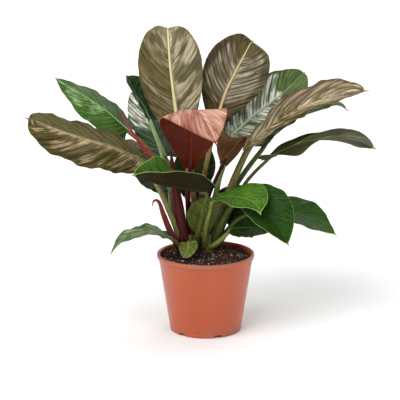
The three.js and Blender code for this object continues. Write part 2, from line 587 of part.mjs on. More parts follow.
function soilGeometry() {
  const bottom = FLOOR_RAISE + FLOOR + GAP;
  const edge = (RIM_RADIUS - RIM_OVERHANG - STEP_RELIEF - WALL - GAP) * Math.cos(Math.PI / POT_SIDES);
  const positions = [];
  const faces = [];
  const addRing = (radius, heightAt) => {
    for (let k = 0; k < SOIL_SIDES; k++) {
      const turn = (2 * Math.PI * k) / SOIL_SIDES;
      const [x, y] = [radius * Math.cos(turn), radius * Math.sin(turn)];
      positions.push(x, y, heightAt(x, y));
    }
  };
  const bottomRadius = soilRadiusAt(bottom) * Math.cos(Math.PI / POT_SIDES);
  addRing(bottomRadius, () => bottom);
  addRing(edge, () => POT_HEIGHT - STEP_BELOW_RIM);
  for (let i = 0; i < SOIL_RINGS; i++) addRing(edge * (1 - i / SOIL_RINGS), soilHeight);
  const rings = SOIL_RINGS + 2;
  for (let i = 0; i < rings - 1; i++) {
    for (let k = 0; k < SOIL_SIDES; k++) {
      const next = (k + 1) % SOIL_SIDES;
      const [a, b] = [i * SOIL_SIDES + k, i * SOIL_SIDES + next];
      faces.push(a, b, b + SOIL_SIDES, a, b + SOIL_SIDES, a + SOIL_SIDES);
    }
  }
  const foot = positions.length / 3;
  positions.push(0, 0, bottom, 0, 0, soilHeight(0, 0));
  const last = (rings - 1) * SOIL_SIDES;
  for (let k = 0; k < SOIL_SIDES; k++) {
    const next = (k + 1) % SOIL_SIDES;
    faces.push(foot, next, k, foot + 1, last + k, last + next);
  }
  const geometry = new THREE.BufferGeometry();
  geometry.setAttribute('position', new THREE.Float32BufferAttribute(positions, 3));
  geometry.setIndex(faces);
  return geometry;
}

addPiece('pot', geometryOf(potBody()), COLOURS.pot, PLASTIC_ROUGHNESS);

// Crowns and compost
const crownsWithGap = CROWNS.map((crown) => solid(crownGeometry(crown, GAP)));
let soil = solid(soilGeometry());
for (const crown of crownsWithGap) soil = soil.subtract(crown);
addPiece('soil', geometryOf(soil), COLOURS.soil, SOIL_MATTNESS);
for (const crown of CROWNS) {
  addPiece(crown.name, geometryOf(solid(crownGeometry(crown, 0))), COLOURS.crown, CROWN_ROUGHNESS);
}

// Sheaths and leaves. Each is cut by the crowns and by the stalks before it, with a gap.
const taken = [...crownsWithGap];

function addGrowth(name, body, stalkWithGap, colour) {
  let left = body;
  for (const other of taken) left = left.subtract(other);
  taken.push(stalkWithGap);
  addPiece(name, geometryOf(left), COLOURS[colour], LEAF_ROUGHNESS);
}

for (const sheath of SHEATHS) {
  const body = solid(sheathGeometry(sheath, 0));
  addGrowth(sheath.name, body, solid(sheathGeometry(sheath, GAP)), sheath.colour);
}

for (const leaf of LEAVES) {
  const line = framedLine(leaf.blade, leaf.face, leaf.twist);
  const blade = solid(bladeGeometry(leaf, line));
  const petiole = solid(petioleGeometry(leaf, line, 0));
  addGrowth(leaf.name, blade.add(petiole), solid(petioleGeometry(leaf, line, GAP)), leaf.colour);
}

export default group;
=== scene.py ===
"""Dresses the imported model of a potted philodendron.

Every leaf gets its waved blade with a raised midrib and quilted side veins, and a channelled stalk.
The crowns, sheaths, compost and nursery pot are remade at the same sizes with their finer forms. Sizes
are in millimetres, in the frame's axes: +Z is up and -Y is the front.
"""

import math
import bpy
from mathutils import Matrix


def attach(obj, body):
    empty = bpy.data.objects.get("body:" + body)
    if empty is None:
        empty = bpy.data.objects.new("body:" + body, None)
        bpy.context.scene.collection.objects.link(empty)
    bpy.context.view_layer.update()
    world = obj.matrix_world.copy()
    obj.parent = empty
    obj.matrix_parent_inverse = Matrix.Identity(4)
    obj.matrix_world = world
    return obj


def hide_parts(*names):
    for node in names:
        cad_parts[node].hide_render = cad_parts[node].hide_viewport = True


bl_info = {
    "name": "Potted philodendron",
    "version": (1, 0, 0),
    "blender": (4, 5, 0),
    "location": "View3D > Sidebar > Plant",
    "description": "Grows the leaves, stalks, compost and pot of a potted philodendron on its frame",
    "category": "Add Mesh",
}

import bmesh
import bpy
import numpy as np
from bpy.props import FloatProperty, FloatVectorProperty, IntProperty, PointerProperty
from bpy.types import Operator, Panel, PropertyGroup
from mathutils import Matrix, Vector, noise

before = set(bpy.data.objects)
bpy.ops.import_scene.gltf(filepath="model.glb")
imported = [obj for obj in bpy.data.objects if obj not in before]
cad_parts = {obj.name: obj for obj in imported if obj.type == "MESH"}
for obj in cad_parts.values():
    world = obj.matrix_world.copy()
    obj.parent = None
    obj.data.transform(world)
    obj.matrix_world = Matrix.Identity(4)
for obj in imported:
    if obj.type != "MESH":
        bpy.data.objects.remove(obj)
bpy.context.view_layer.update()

MM = 0.001

# Pot: its section and dust, beside what its settings hold
RIM_DEPTH = 8.0
RIM_OVERHANG = 4.0
STEP_BELOW_RIM = 19.0
STEP_RELIEF = 0.8
STEP_RISE = 2.0
RIM_FLARE = 0.6
RIM_DRAFT = 0.3
RIM_LIP = {"width": 1.4, "depth": 3.0}
FLOOR = 2.0
FLOOR_RAISE = 3.0
CENTRE_PAD_RADIUS = 16.0
FOOT_WIDTH = 7.0
FOOT_LINE = {"height": 5.4, "width": 1.0, "depth": 0.35}
NOTCH = {"width": 12.0, "height": 5.0, "depth": 14.0, "corner": 1.2}
FIRST_NOTCH_TURN = 50.0
POT_SIDES = 192
CORNER_POINTS = 5
SHARP_EDGE = math.radians(40)
DUST = "#8f6a52"

# Compost: its clearance from the wall, its lumps and grains, and the grid of its top
GAP = 0.3
LUMPS = 1.5
GRAIN = {"height": 1.3, "mean": 0.3, "size": 3.2, "slice": 3.0, "gain": 0.8, "step": 2.1, "layers": 4}
BED_RINGS = 90
RIM_REACH = 85.0
LITTER_REACH = 76.0
BED_SIDES = 256
SMALLEST_RING = 0.004
MOST_LEAN = 0.5

# What lies on the compost, in the order in which it is strewn: the number of its material, how finely a lump
# is modelled, its smallest and largest sizes, how rough it is, whether it is turned to any side or laid
# nearly flat, and how far its middle lies above the bed in shares of its smallest size
LITTER = {
    "crumbs": {
        "finish": 0, "detail": 1, "sizes": [(0.5, 1.6)] * 3, "rough": 0.25, "tumbled": True, "lift": 0.3,
    },
    "bark": {
        "finish": 2, "detail": 1, "sizes": [(2.0, 4.5), (1.0, 2.0), (0.5, 1.0)], "rough": 0.25,
        "tumbled": False, "lift": 0.6,
    },
    "perlite": {
        "finish": 1, "detail": 2, "sizes": [(0.6, 1.5)] * 3, "rough": 0.12, "tumbled": True, "lift": 0.5,
    },
}
# Each material of the compost: its light and dark colour, grain, roughness, and the strength and height of
# its bumps. The peat's light colour is a setting.
CRUMB_SKINS = {
    "peat": (None, "#0f0905", 420.0, 0.95, 0.9, 1.2),
    "perlite": ("#cbb8a4", "#7c6450", 900.0, 0.9, 0.5, 0.4),
    "bark": ("#7c4628", "#341c10", 500.0, 0.85, 0.7, 0.6),
}

# Lines: how finely a curve is sampled, and the steps of its frames
LINE_SAMPLES = 1200
FRAME_STEPS = 240

# Blades: the ridge of the midrib, the drawn-out tip and the blunt base
RIB_AT_BASE = {"half": 4.0, "depth": 3.4, "height": 1.3}
RIB_AT_TIP = {"half": 0.7, "depth": 0.3, "height": 0.25}
RIB_SHARE = 0.25
RIB_RADIUS = 5.0
NARROWEST = 0.7
TIP_SPIKE = {"share": 0.03, "half": 2.0}
BLUNT_BASE = 0.1
ROWS_PER_VEIN = 8
MAP_UNIT = 100.0
RIB_COLUMNS = 4
WEB_COLUMNS = 17

# A blade's rows run along its side veins: how they are spaced along the midrib and the edge, how late they
# sweep on towards the tip, and how closely their points stand by the midrib
RIB_SPACING = 1.25
EDGE_SPACING = 1.4
VEIN_SWEEP = 1.5
WEB_SPACING = 1.25

# Waved edges: how far the right edge's waves run ahead of the left edge's, and where they fade
WAVE_SHIFT = 1.9
WAVE_FADE = 4.0

# Stalks: shares of a leaf's radius along its petiole, the clasping foot, where it lands under the midrib, the
# channel of its upper side, and where it thins
ROOT_SHARE = 1.12
NECK_SHARE = 0.8
END_SHARE = 0.45
FOOT_LENGTH = 55.0
FOOT_SWELL = 0.5
LANDING = 0.1
NECK_DROP = 0.55
LANDING_DROP = 0.5
STALK_SIDES = 20
STALK_STEP = 4.0
CHANNEL = {"depth": 0.3, "width": 0.5, "from": 0.3}
THINNING = (0.9, 1)

# Looks. A look gives a leaf's upper side its colours: tone and shade mottle it, the third colour is painted
# sheen, a painted reflection between the side veins, the fourth is painted shade in the grooves along them,
# vein colours the midrib and margin the edge. under is the lower side's colour, partly darkened as painted
# shade for the shade beneath the leaves.
LOOK_PARTS = ("tone", "shade", "silver", "groove", "vein", "margin", "under")
LOOKS = {
    "bronze": ("#6c6030", "#4a401e", "#b8ac8e", "#261f0c", "#e0d89e", "#6d5c36", "#6b4c34"),
    "lilac": ("#64552a", "#413518", "#aca08a", "#161206", "#d2bc84", "#6b583a", "#6a4636"),
    "gold": ("#6e5b30", "#4b3d1c", "#dfcca8", "#2e230c", "#8c7844", "#7a643a", "#6c6038"),
    "umber": ("#625a24", "#423a14", "#b49e80", "#221a09", "#7a7642", "#5e4e2c", "#66482f"),
    "striped": ("#566c34", "#33491a", "#ecefdf", "#141b0c", "#98aa6c", "#4a6630", "#587040"),
    "green": ("#466c26", "#2c4a16", "#98b082", "#1c3410", "#8cb060", "#42702a", "#5c7a3c"),
    "fresh": ("#4e8018", "#30590e", "#7ca43c", "#20440a", "#92b24a", "#a0b45c", "#241f0a"),
    "dark": ("#294c10", "#183208", "#5f8040", "#0f2205", "#587a2c", "#7a9648", "#3a5022"),
    "blue": ("#2c4c26", "#142917", "#d6d8c4", "#0a160c", "#74905c", "#27442a", "#34502c"),
    "olive": ("#54562b", "#302f16", "#9a9c6c", "#1a190a", "#7a7c4a", "#5a5c32", "#4c5030"),
    "sage": ("#5e7848", "#445c30", "#a4aa88", "#2e4022", "#8fa070", "#6a8256", "#4a5a38"),
    "moss": ("#5e6c22", "#3e4a17", "#7c8a3c", "#28340e", "#86903c", "#6c7630", "#4a521e"),
    "copper": ("#9a5a46", "#7c3e2e", "#cda68e", "#602c20", "#a66c58", "#7e3022", "#64200a"),
    "rust": ("#6e4a26", "#4a3018", "#8a6a44", "#33200f", "#7a5a34", "#7a4a2a", "#5c3f1c"),
}

# Leaves, with the same lines and sizes as the frame's, in millimetres and degrees. petiole and blade are the
# points of their middle lines, and face is the way the upper side looks at the neck. widest is the share of
# its length where a blade is widest, ends how much its base and its tip taper, lobe how far it reaches back
# past the neck, and radius the stalk's. fold is how steeply a half leaves the midrib, cup how much it curls
# on, roll how much the fold has grown by the tip, and wave how high the edge waves.
#
# look, veins and the rest are the finish: the side veins of a half and how far they slant to the tip, how
# far the blade quilts between them and its edge ruffles, the midrib's relative width, how much painted sheen,
# a painted reflection, lies between the veins and from where to where along it, how much more so it hugs the
# midrib, how far out it reaches and how softly it ends, how plainly the veins show as pale lines and as
# painted shade in their grooves, how much painted shade of folds lies in dark patches, how much each half is
# painted lighter or darker for the light that falls on it, how much painted shade darkens it towards the edge
# and at the base, and the stalk's colours at root and neck. seed picks its streaks and ruffles. Pairs are for
# the left and the right half where BY_HALF says so, and what a leaf doesn't say it takes from PLAIN_LEAF.
# Each group of leaves is grown by one operator.
BY_HALF = ("fold", "cup", "roll", "wave", "quilt", "silver", "hug", "smudge", "light", "dusk")
COLOURED_BY_HALF = BY_HALF[-5:]
PLAIN_LEAF = dict(
    widest=0.5, ends=(0.65, 0.6), lobe=0.06, twist=0, fold=10, cup=4, roll=0, wave=2, waves=2, phase=1,
    slant=0.1, quilt=0.6, ruffle=1.6, rib=1, silver=0.1, hug=0, span=(0, 1), edge=0.85, soft=0.2,
    pale=0.08, dark=0.5, smudge=0.1, light=1, dusk=0, base=0, gloss=1,
)
UPRIGHT = {
    "leaf_tall_left": dict(
        petiole=[(-12, 50, 160), (-26, 48, 252)],
        blade=[(-48, 46, 350), (-56, 54, 406), (-62, 62, 456), (-65, 76, 497), (-66, 96, 515),
               (-64, 116, 514)],
        width=115, widest=0.55, ends=(0.5, 0.72), lobe=0.05, radius=4.8, face=(0.02, -1, 0.12),
        fold=(14, 10), cup=8, wave=2.5, waves=3, phase=0.4,
        look="bronze", seed=11.3, veins=15, quilt=(0.9, 1.4), rib=1.45, silver=(0.36, 0.72),
        hug=(0, 0.4), span=(0, 0.84), edge=1, soft=0.3, dark=0.35, smudge=(0.3, 1), light=(1.03, 1.12),
        dusk=(0.15, 0), base=0.1, stalk=("#5a2a1c", "#b5ad6a"),
    ),
    "leaf_tall_right": dict(
        petiole=[(-6, 54, 160), (-4, 58, 250)],
        blade=[(17, 62, 352), (33, 66, 404), (50, 72, 440), (65, 80, 467), (77, 92, 488),
               (84, 104, 494)],
        width=114, widest=0.6, ends=(0.75, 0.45), lobe=0.05, radius=4.8, face=(-0.03, -1, 0.13),
        fold=8, cup=(12, 8), wave=2.5, waves=3, phase=2,
        look="lilac", seed=48.9, veins=19, quilt=1.3, ruffle=1.8, rib=1.35, silver=0.66,
        span=(0.36, 0.74), edge=0.8, soft=0.28, dark=1, smudge=(0.7, 0.55), light=(1.12, 1.06),
        dusk=(0.25, 0.15), base=0.4, stalk=("#3c1418", "#a08a50"),
    ),
    "leaf_upper_right": dict(
        petiole=[(8, 28, 156), (24, 50, 260)],
        blade=[(50, 66, 336), (88, 72, 367), (120, 78, 391), (148, 84, 415), (168, 94, 434),
               (176, 102, 438)],
        width=96, widest=0.52, lobe=0.07, radius=5.2, face=(-0.1, -0.92, 0.38), fold=(12, 26), cup=6,
        waves=3,
        look="striped", seed=18.7, veins=18, quilt=(1.3, 1), ruffle=1.4, rib=0.9, silver=(0.82, 0.5),
        span=(0, 0.62), edge=0.9, dark=0.75, smudge=(0.8, 0.4), light=(1.34, 1.06), base=0.45,
        stalk=("#4c5a2c", "#8c9a58"),
    ),
    "leaf_left_upper": dict(
        petiole=[(-38, 20, 150), (-64, 33, 236), (-98, 41, 308)],
        blade=[(-135, 45, 345), (-173, 51, 377), (-200, 55, 396), (-232, 61, 416), (-263, 66, 434)],
        width=80, widest=0.4, ends=(0.6, 0.85), radius=4.4, face=(0.39, -0.56, 0.73), fold=(-8, -12),
        cup=(-8, -6), waves=3,
        look="green", seed=48.1, veins=12, quilt=0.8, ruffle=0.7, rib=0.5, silver=(0.5, 0.18),
        span=(0.45, 1), pale=0.45, light=(1.16, 0.86), base=0.4, gloss=0.6,
        stalk=("#4c2420", "#9a5a44"),
    ),
    "leaf_upper_left_dark": dict(
        petiole=[(-40, 12, 146), (-57, 8, 200), (-65, 8, 258), (-79, 18, 318)],
        blade=[(-98, 36, 366), (-109, 48, 388), (-121, 58, 406), (-131, 66, 424), (-138, 72, 438)],
        width=78, ends=(0.6, 0.5), lobe=0.1, radius=3.2, face=(0.46, -0.7, 0.55), fold=(46, 10),
        wave=1.5,
        look="blue", seed=51.8, veins=9, ruffle=1.2, rib=1.7, silver=(0.2, 0.06), span=(0, 0.8),
        stalk=("#7c8a5c", "#8c9c68"),
    ),
}
SPREADING = {
    "leaf_left_wide": dict(
        petiole=[(-38, 6, 146), (-60, -6, 205), (-84, -10, 260)],
        blade=[(-112, -12, 305), (-156, -20, 328), (-199, -28, 343), (-245, -36, 360),
               (-278, -42, 374), (-302, -46, 383)],
        width=100, ends=(0.42, 0.35), radius=4.8, face=(0.43, -0.55, 0.72), fold=(-8, -14),
        cup=(-24, -8), wave=3, waves=3.5,
        look="umber", seed=112.2, veins=13, quilt=(3.8, 1.2), ruffle=1.4, rib=0.5, silver=(0.44, 0.04),
        hug=(0.25, 0), soft=0.26, dark=0.7, smudge=(0.85, 0.2), light=(1.12, 0.86), dusk=(0.25, 0),
        base=0.2, gloss=0.45, stalk=("#6e6c3c", "#8c8852"),
    ),
    "leaf_right_arching": dict(
        petiole=[(12, 22, 156), (40, 20, 240)],
        blade=[(69, 16, 316), (97, 13, 343), (130, 9, 371), (171, 4, 395), (211, -2, 411),
               (245, -8, 420), (275, -12, 423)],
        width=84, widest=0.58, ends=(0.9, 0.5), lobe=0.04, radius=6.8, face=(-0.62, -0.41, 0.66),
        twist=-15, fold=(20, 10), cup=(2, 4), wave=3, waves=3, phase=0,
        look="gold", seed=56.3, veins=14, slant=0.16, quilt=1.8, ruffle=2, rib=0.55,
        silver=(0.46, 0.5), span=(0.03, 0.97), edge=0.92, soft=0.17, dark=0.6, smudge=(0.6, 0.5),
        light=(0.95, 0.92), base=0.3, stalk=("#3c3c20", "#7a7240"),
    ),
    "leaf_right_under": dict(
        petiole=[(14, 30, 150), (48, 38, 240)],
        blade=[(98, 44, 316), (129, 50, 345), (164, 54, 368), (199, 57, 381), (230, 58, 387),
               (249, 56, 377)],
        width=84, widest=0.45, ends=(0.7, 0.65), lobe=0.05, radius=5.4, face=(-0.66, 0, 0.75),
        fold=(14, 4), cup=6, waves=3, phase=2,
        look="dark", seed=26.1, veins=12, quilt=1, ruffle=1.2, rib=0.8, silver=(0.45, 0.5),
        span=(0.2, 0.9), dark=0.6, light=(0.8, 0.85), base=0.5, gloss=0.5,
        stalk=("#2c3018", "#4a5a30"),
    ),
    "leaf_right_level": dict(
        petiole=[(14, 14, 142), (60, 2, 248)],
        blade=[(103, -8, 304), (145, -16, 327), (186, -24, 341), (233, -32, 345), (266, -38, 340),
               (287, -41, 328)],
        width=68, widest=0.6, radius=3.8, face=(-0.52, -0.06, 0.85), fold=(6, 4), cup=(8, 4),
        wave=(3, 12), waves=1.6, phase=6.1,
        look="olive", seed=63.7, veins=12, slant=0.25, quilt=(0.9, 1.1), ruffle=1, rib=0.8,
        silver=(0.4, 0.38), span=(0.4, 1), soft=0.14, dark=0.6, smudge=(0.5, 0.6), light=(0.92, 0.78),
        base=0.62, gloss=0.7, stalk=("#34341c", "#4f4f2e"),
    ),
    "leaf_front_left": dict(
        petiole=[(-20, 11, 147), (-11, -6, 182), (-3, -19, 226)],
        blade=[(2, -26, 250), (-27, -38, 257), (-67, -54, 268), (-94, -66, 278), (-113, -74, 287),
               (-124, -80, 293)],
        width=86, ends=(0.7, 0.5), lobe=0.08, radius=3.8, face=(0.05, 0.35, 0.94), twist=-28,
        fold=(44, 58), cup=(6, 10), wave=(2, 12), waves=1, phase=0.93,
        look="fresh", seed=40.7, veins=11, quilt=(0.5, 0.6), ruffle=1, rib=0.8, silver=(0, 0.1),
        pale=0.45, dark=0.4, light=(1, 0.85), stalk=("#4c5424", "#545a28"),
    ),
}
LOWER = {
    "leaf_front_right": dict(
        petiole=[(0, 17, 142), (-2, 4, 172), (6, -6, 210)],
        blade=[(9, -10, 232), (33, -28, 243), (60, -48, 246), (82, -66, 240), (92, -80, 224)],
        width=84, widest=0.68, ends=(0.85, 1.5), lobe=0.1, radius=4, face=(-0.34, -0.36, 0.87),
        fold=(-4, 24), wave=1.5, phase=0.5,
        look="fresh", seed=22.2, veins=9, quilt=(0.6, 0.5), ruffle=0.8, rib=0.8, silver=(0.25, 0.12),
        span=(0, 0.6), pale=0.3, dark=0.35, light=(0.9, 0.78), dusk=(0, 0.15), gloss=0.5,
        stalk=("#6a7034", "#9a9854"),
    ),
    "leaf_lower_right": dict(
        petiole=[(14, 14, 150), (36, 2, 206)],
        blade=[(55, -10, 236), (76, -24, 233), (97, -40, 220), (119, -56, 199), (140, -70, 168)],
        width=98, widest=0.48, ends=(0.85, 0.95), radius=4.4, face=(-0.1, -0.5, 0.86), fold=(26, 30),
        cup=(2, 4), wave=1.5, phase=2,
        look="dark", seed=25.9, veins=10, ruffle=1, rib=0.7, silver=0.05, pale=0.25, dark=0.35,
        light=(1, 0.95), gloss=0.3, stalk=("#3c4a1e", "#5c6a34"),
    ),
    "leaf_far_right_low": dict(
        petiole=[(18, 18, 142), (52, 12, 190)],
        blade=[(94, 4, 216), (135, -2, 212), (169, -10, 204), (198, -20, 191), (225, -28, 175)],
        width=86, widest=0.46, ends=(0.7, 0.9), lobe=0.05, radius=4, face=(-0.03, -0.31, 0.95), cup=2,
        wave=1.5, phase=0,
        look="dark", seed=52.2, veins=10, ruffle=1, rib=0.7, pale=0.2, dark=0.35, light=(1.1, 0.95),
        gloss=0.5, stalk=("#3c4a1e", "#5c6a34"),
    ),
    "leaf_right_at_soil": dict(
        petiole=[(7, 15, 142), (22, 4, 155)],
        blade=[(44, 8, 177), (67, 4, 180), (89, 0, 180), (108, -8, 174)],
        width=60, widest=0.48, ends=(0.7, 0.65), radius=3.6, face=(-0.27, -0.48, 0.84), wave=1.2,
        look="dark", seed=33.3, veins=8, quilt=0.5, ruffle=0.8, stalk=("#7a7a40", "#8a9450"),
    ),
    "leaf_middle_small": dict(
        petiole=[(2, 22, 146), (-2, 22, 160)],
        blade=[(-4, 20, 170), (0, 18, 192), (7, 18, 214), (12, 20, 232)],
        width=76, ends=(0.65, 0.5), radius=4, face=(0.08, -0.99, 0.05), fold=(18, 8), wave=1,
        look="moss", seed=37, veins=8, quilt=0.5, ruffle=0.6, silver=(0.25, 0.15), pale=0.3,
        light=(1.25, 1.2), stalk=("#7c7a3e", "#a09858"),
    ),
    "leaf_left_inner": dict(
        petiole=[(-40, 16, 146), (-54, 20, 206)],
        blade=[(-65, 18, 250), (-84, 14, 259), (-105, 8, 267), (-123, 2, 275)],
        width=54, widest=0.45, ends=(0.6, 0.7), radius=3.4, face=(0.43, -0.3, 0.85), fold=-6, cup=-4,
        wave=1,
        look="dark", seed=62.9, veins=7, quilt=0.4, ruffle=0.6, light=0.6,
        stalk=("#2c2018", "#3a4a26"),
    ),
    "leaf_left_low": dict(
        petiole=[(-36, 4, 136), (-46, -6, 152)],
        blade=[(-58, -18, 168), (-92, -38, 184), (-128, -54, 182), (-150, -60, 168), (-162, -62, 150)],
        width=46, widest=0.42, ends=(0.6, 0.75), lobe=0.04, radius=3.4, face=(0.3, -0.2, 0.93),
        twist=20, fold=6, cup=6, waves=2.5,
        look="sage", seed=111.8, veins=11, quilt=0.8, ruffle=1, rib=0.7, silver=(0.4, 0.35),
        span=(0.1, 1), light=0.9, stalk=("#6a4030", "#5c6c3c"),
    ),
    "leaf_front_small": dict(
        petiole=[(-30, 8, 142), (-30, -6, 156)],
        blade=[(-31, -14, 159), (-30, -25, 153), (-34, -34, 145), (-39, -38, 138)],
        width=34, widest=0.4, ends=(0.6, 0.6), radius=2.6, face=(-0.1, -0.8, 0.6), fold=6, wave=0.8,
        look="moss", seed=70.3, veins=6, quilt=0.4, ruffle=0.4, silver=(0.2, 0.1), light=(1.15, 1.1),
        stalk=("#6a6a34", "#7a8a34"),
    ),
}
YOUNG = {
    "leaf_young_large": dict(
        petiole=[(-24, 18, 158), (-31, 24, 220)],
        blade=[(-27, -6, 290), (-25, -14, 340), (-23, -26, 379), (-18, -44, 395), (-2, -68, 380),
               (18, -84, 342)],
        width=122, widest=0.55, ends=(1, 0.9), lobe=0.02, radius=4.6, face=(0, 1, 0.1), twist=46,
        fold=(-10, -12), cup=-4, roll=(0, 70), wave=1,
        look="copper", seed=55.5, veins=11, ruffle=0.6, rib=0.8, silver=(0.56, 0.5), span=(0.5, 1),
        edge=1, soft=0.4, dark=0.1, smudge=0, light=(1.15, 1.05), stalk=("#4a141c", "#5c1c20"),
    ),
    "leaf_young_small": dict(
        petiole=[(2, 26, 162), (4, 32, 222), (18, 22, 264)],
        blade=[(31, 14, 292), (42, 11, 321), (47, 2, 338), (42, -11, 339), (32, -21, 325),
               (24, -25, 303)],
        width=46, ends=(0.9, 0.9), lobe=0.03, radius=3.6, face=(0.15, 0.98, 0.09), fold=14, cup=10,
        wave=1,
        look="rust", seed=59.2, veins=8, quilt=0.4, ruffle=0.4, dark=0.4, stalk=("#2c1018", "#3c1418"),
    ),
}
HINDMOST = {
    "leaf_middle_dark": dict(
        petiole=[(10, 36, 142), (22, 42, 164)],
        blade=[(34, 46, 182), (48, 47, 206), (60, 48, 228), (70, 50, 246)],
        width=74, ends=(0.6, 0.7), radius=3.6, face=(-0.3, -0.9, 0.3), wave=1,
        look="dark", seed=74, veins=9, quilt=0.5, ruffle=0.8, light=0.7, stalk=("#3a3a20", "#4a5a30"),
    ),
    "leaf_middle_back": dict(
        petiole=[(-16, 62, 150), (-20, 70, 190)],
        blade=[(-24, 72, 226), (-22, 72, 262), (-16, 74, 298), (-8, 78, 330)],
        width=76, ends=(0.6, 0.7), radius=4, face=(0.1, -0.98, 0.1), fold=12, wave=1, phase=0,
        look="dark", seed=77.7, veins=9, quilt=0.5, ruffle=0.8, light=0.65,
        stalk=("#3a2c1c", "#4a5a30"),
    ),
    "leaf_back_left": dict(
        petiole=[(-14, 56, 152), (-38, 80, 230)],
        blade=[(-72, 108, 286), (-90, 148, 322), (-108, 180, 360), (-128, 208, 398)],
        width=90, radius=4.4, face=(0.2, -0.7, 0.6), wave=2.5, waves=3,
        look="blue", seed=81.4, veins=13, quilt=(1.2, 1), silver=(0.8, 0.1), span=(0.45, 1), edge=1,
        dark=0.7, smudge=(0.8, 0.3), light=(1.55, 0.85), stalk=("#3a4422", "#5c6a3c"),
    ),
    "leaf_back_right": dict(
        petiole=[(0, 56, 152), (22, 82, 240)],
        blade=[(44, 112, 300), (76, 165, 348), (98, 205, 372), (116, 240, 380)],
        width=100, radius=4.4, face=(-0.1, -0.35, 0.93), wave=2.5, waves=3, phase=0,
        look="striped", seed=85.1, veins=14, quilt=1, silver=(0.35, 0.5), span=(0.1, 0.9), dark=0.6,
        smudge=0.3, stalk=("#3a4422", "#6a7a44"),
    ),
    "leaf_back_middle": dict(
        petiole=[(-8, 62, 150), (-14, 86, 228)],
        blade=[(-18, 112, 280), (-22, 160, 314), (-26, 210, 328), (-30, 255, 322)],
        width=84, radius=4.4, face=(0, -0.4, 0.92), wave=2.5, waves=3, phase=2,
        look="dark", seed=88.8, veins=12, quilt=0.9, silver=(0.2, 0.3), span=(0.1, 0.9), pale=0.25,
        stalk=("#3a2c1c", "#5c6a3c"),
    ),
    "leaf_back_right_low": dict(
        petiole=[(12, 34, 142), (24, 46, 170)],
        blade=[(42, 62, 192), (78, 98, 214), (104, 126, 216), (126, 152, 204)],
        width=78, widest=0.48, ends=(0.65, 0.65), radius=3.8, face=(-0.2, -0.3, 0.93), fold=8, phase=2,
        look="green", seed=92.5, veins=11, quilt=0.7, ruffle=1.2, silver=(0.1, 0.2), span=(0.1, 0.9),
        pale=0.4, stalk=("#4a5426", "#6a7a44"),
    ),
    "leaf_back_left_low": dict(
        petiole=[(-40, 24, 148), (-66, 60, 222)],
        blade=[(-98, 94, 268), (-144, 122, 290), (-182, 140, 296), (-216, 154, 290)],
        width=84, widest=0.48, ends=(0.65, 0.65), radius=4, face=(0.3, -0.3, 0.9), fold=8,
        look="bronze", seed=96.2, veins=12, quilt=1.1, silver=(0.4, 0.3), span=(0.1, 0.9),
        smudge=(0.4, 0.3), stalk=("#4a2a20", "#7a7a48"),
    ),
}

# Lower sides beside upper ones, with the painted shade in their vein grooves, stalks, side veins, and the
# ruffles and scallops of the edge
UNDER = {"dark": 0.7, "pale": 1.5, "softness": 0.2, "pale veins": 0.45, "vein crease shade": 0.25, "gloss": 0.5}
STALK_GLOSS = 0.6
VEIN_DRIFT = {"reach": 0.35, "pace": 0.9}
RUFFLE_PACE = 2.6
SCALLOP = 0.012

# Quilting: how the blade swells between its side veins, and where it lies flat along rib, edge, base and tip
ARCH_MEAN = 0.6
QUILT = {"power": 0.7, "spread": 0.2, "pace": 2.3}
QUILT_FADE = {"rib": (0.05, 0.35), "edge": (0.75, 1), "at edge": 0.75, "base": (0, 0.08), "tip": (0.85, 1)}
SWELL = {"height": 0.8, "pace": 1.3, "lean": 2.5}

# Sheaths and the rolled new leaf: stalks that run from a crown to a point, with their colours at both ends
SHEATHS = {
    "sheath_tall": {
        "radius": 10, "skin": ("#420a0b", "#52110e"),
        "points": [(-36, 4, 136), (-44, 0, 200), (-54, 0, 262), (-60, 0, 318)],
    },
    "sheath_short": {
        "radius": 6, "skin": ("#541412", "#742a22"),
        "points": [(-42, 2, 138), (-60, -14, 176), (-72, -19, 208), (-80, -22, 232), (-88, -25, 236),
                   (-92, -27, 226)],
    },
    "new_leaf_spike": {
        "radius": 4.4, "skin": ("#561f1a", "#944438"),
        "points": [(-42, 16, 146), (-62, 22, 222), (-96, 21, 298), (-124, 18, 343), (-150, 16, 388)],
    },
}
SHEATH_POINT = 0.12
SHEATH_FLATNESS = 0.3
SHEATH_CREASE = {"depth": 0.12, "turn": 0.6, "width": 0.25}
SHEATH_GLOSS = 0.15

CROWNS = {
    "crown_left": [(-30, 12, 92), (-31, 12, 166)],
    "crown_right": [(6, 20, 92), (6, 22, 166)],
    "crown_back": [(-8, 50, 92), (-8, 54, 166)],
}
CROWN_RADIUS = 14.0
CROWN_TOP_RADIUS = 10.0
CROWN_CLEARANCE = 0.4
CROWN_SCARS = {"height": 0.35, "pace": 40.0}
CROWN_SKIN = ("#332816", "#565e30")
STEM_FACE = (0.31, -0.87, 0.38)
STEM_STEPS = 60

# Stage, in metres: how far the floor reaches, where each lamp shines from, and where the camera stands
FLOOR_REACH = 30.0
FLOOR_ROUGHNESS = 0.9
LAMPS = {"key": (-0.7, -0.8, 1.1), "fill": (1.0, -0.8, 0.6), "top": (0.1, 0.5, 1.5), "back": (0.6, 1.2, 0.7)}
CAMERA_PLACE = (-0.00988, -2.35204, 0.78696)
SENSOR_WIDTH = 36.0


def linear(code):
    """The linear colour, with alpha, of a sheet colour such as #6b5b38."""
    values = [int(code[i : i + 2], 16) / 255 for i in (1, 3, 5)]
    return tuple(v / 12.92 if v <= 0.04045 else ((v + 0.055) / 1.055) ** 2.4 for v in values) + (1.0,)


def lerp(a, b, t):
    return a + (b - a) * t


def smoothstep(low, high, value):
    t = np.clip((value - low) / (high - low), 0, 1)
    return t * t * (3 - 2 * t)


def unit(vectors):
    return vectors / np.linalg.norm(vectors, axis=-1, keepdims=True)


# Settings


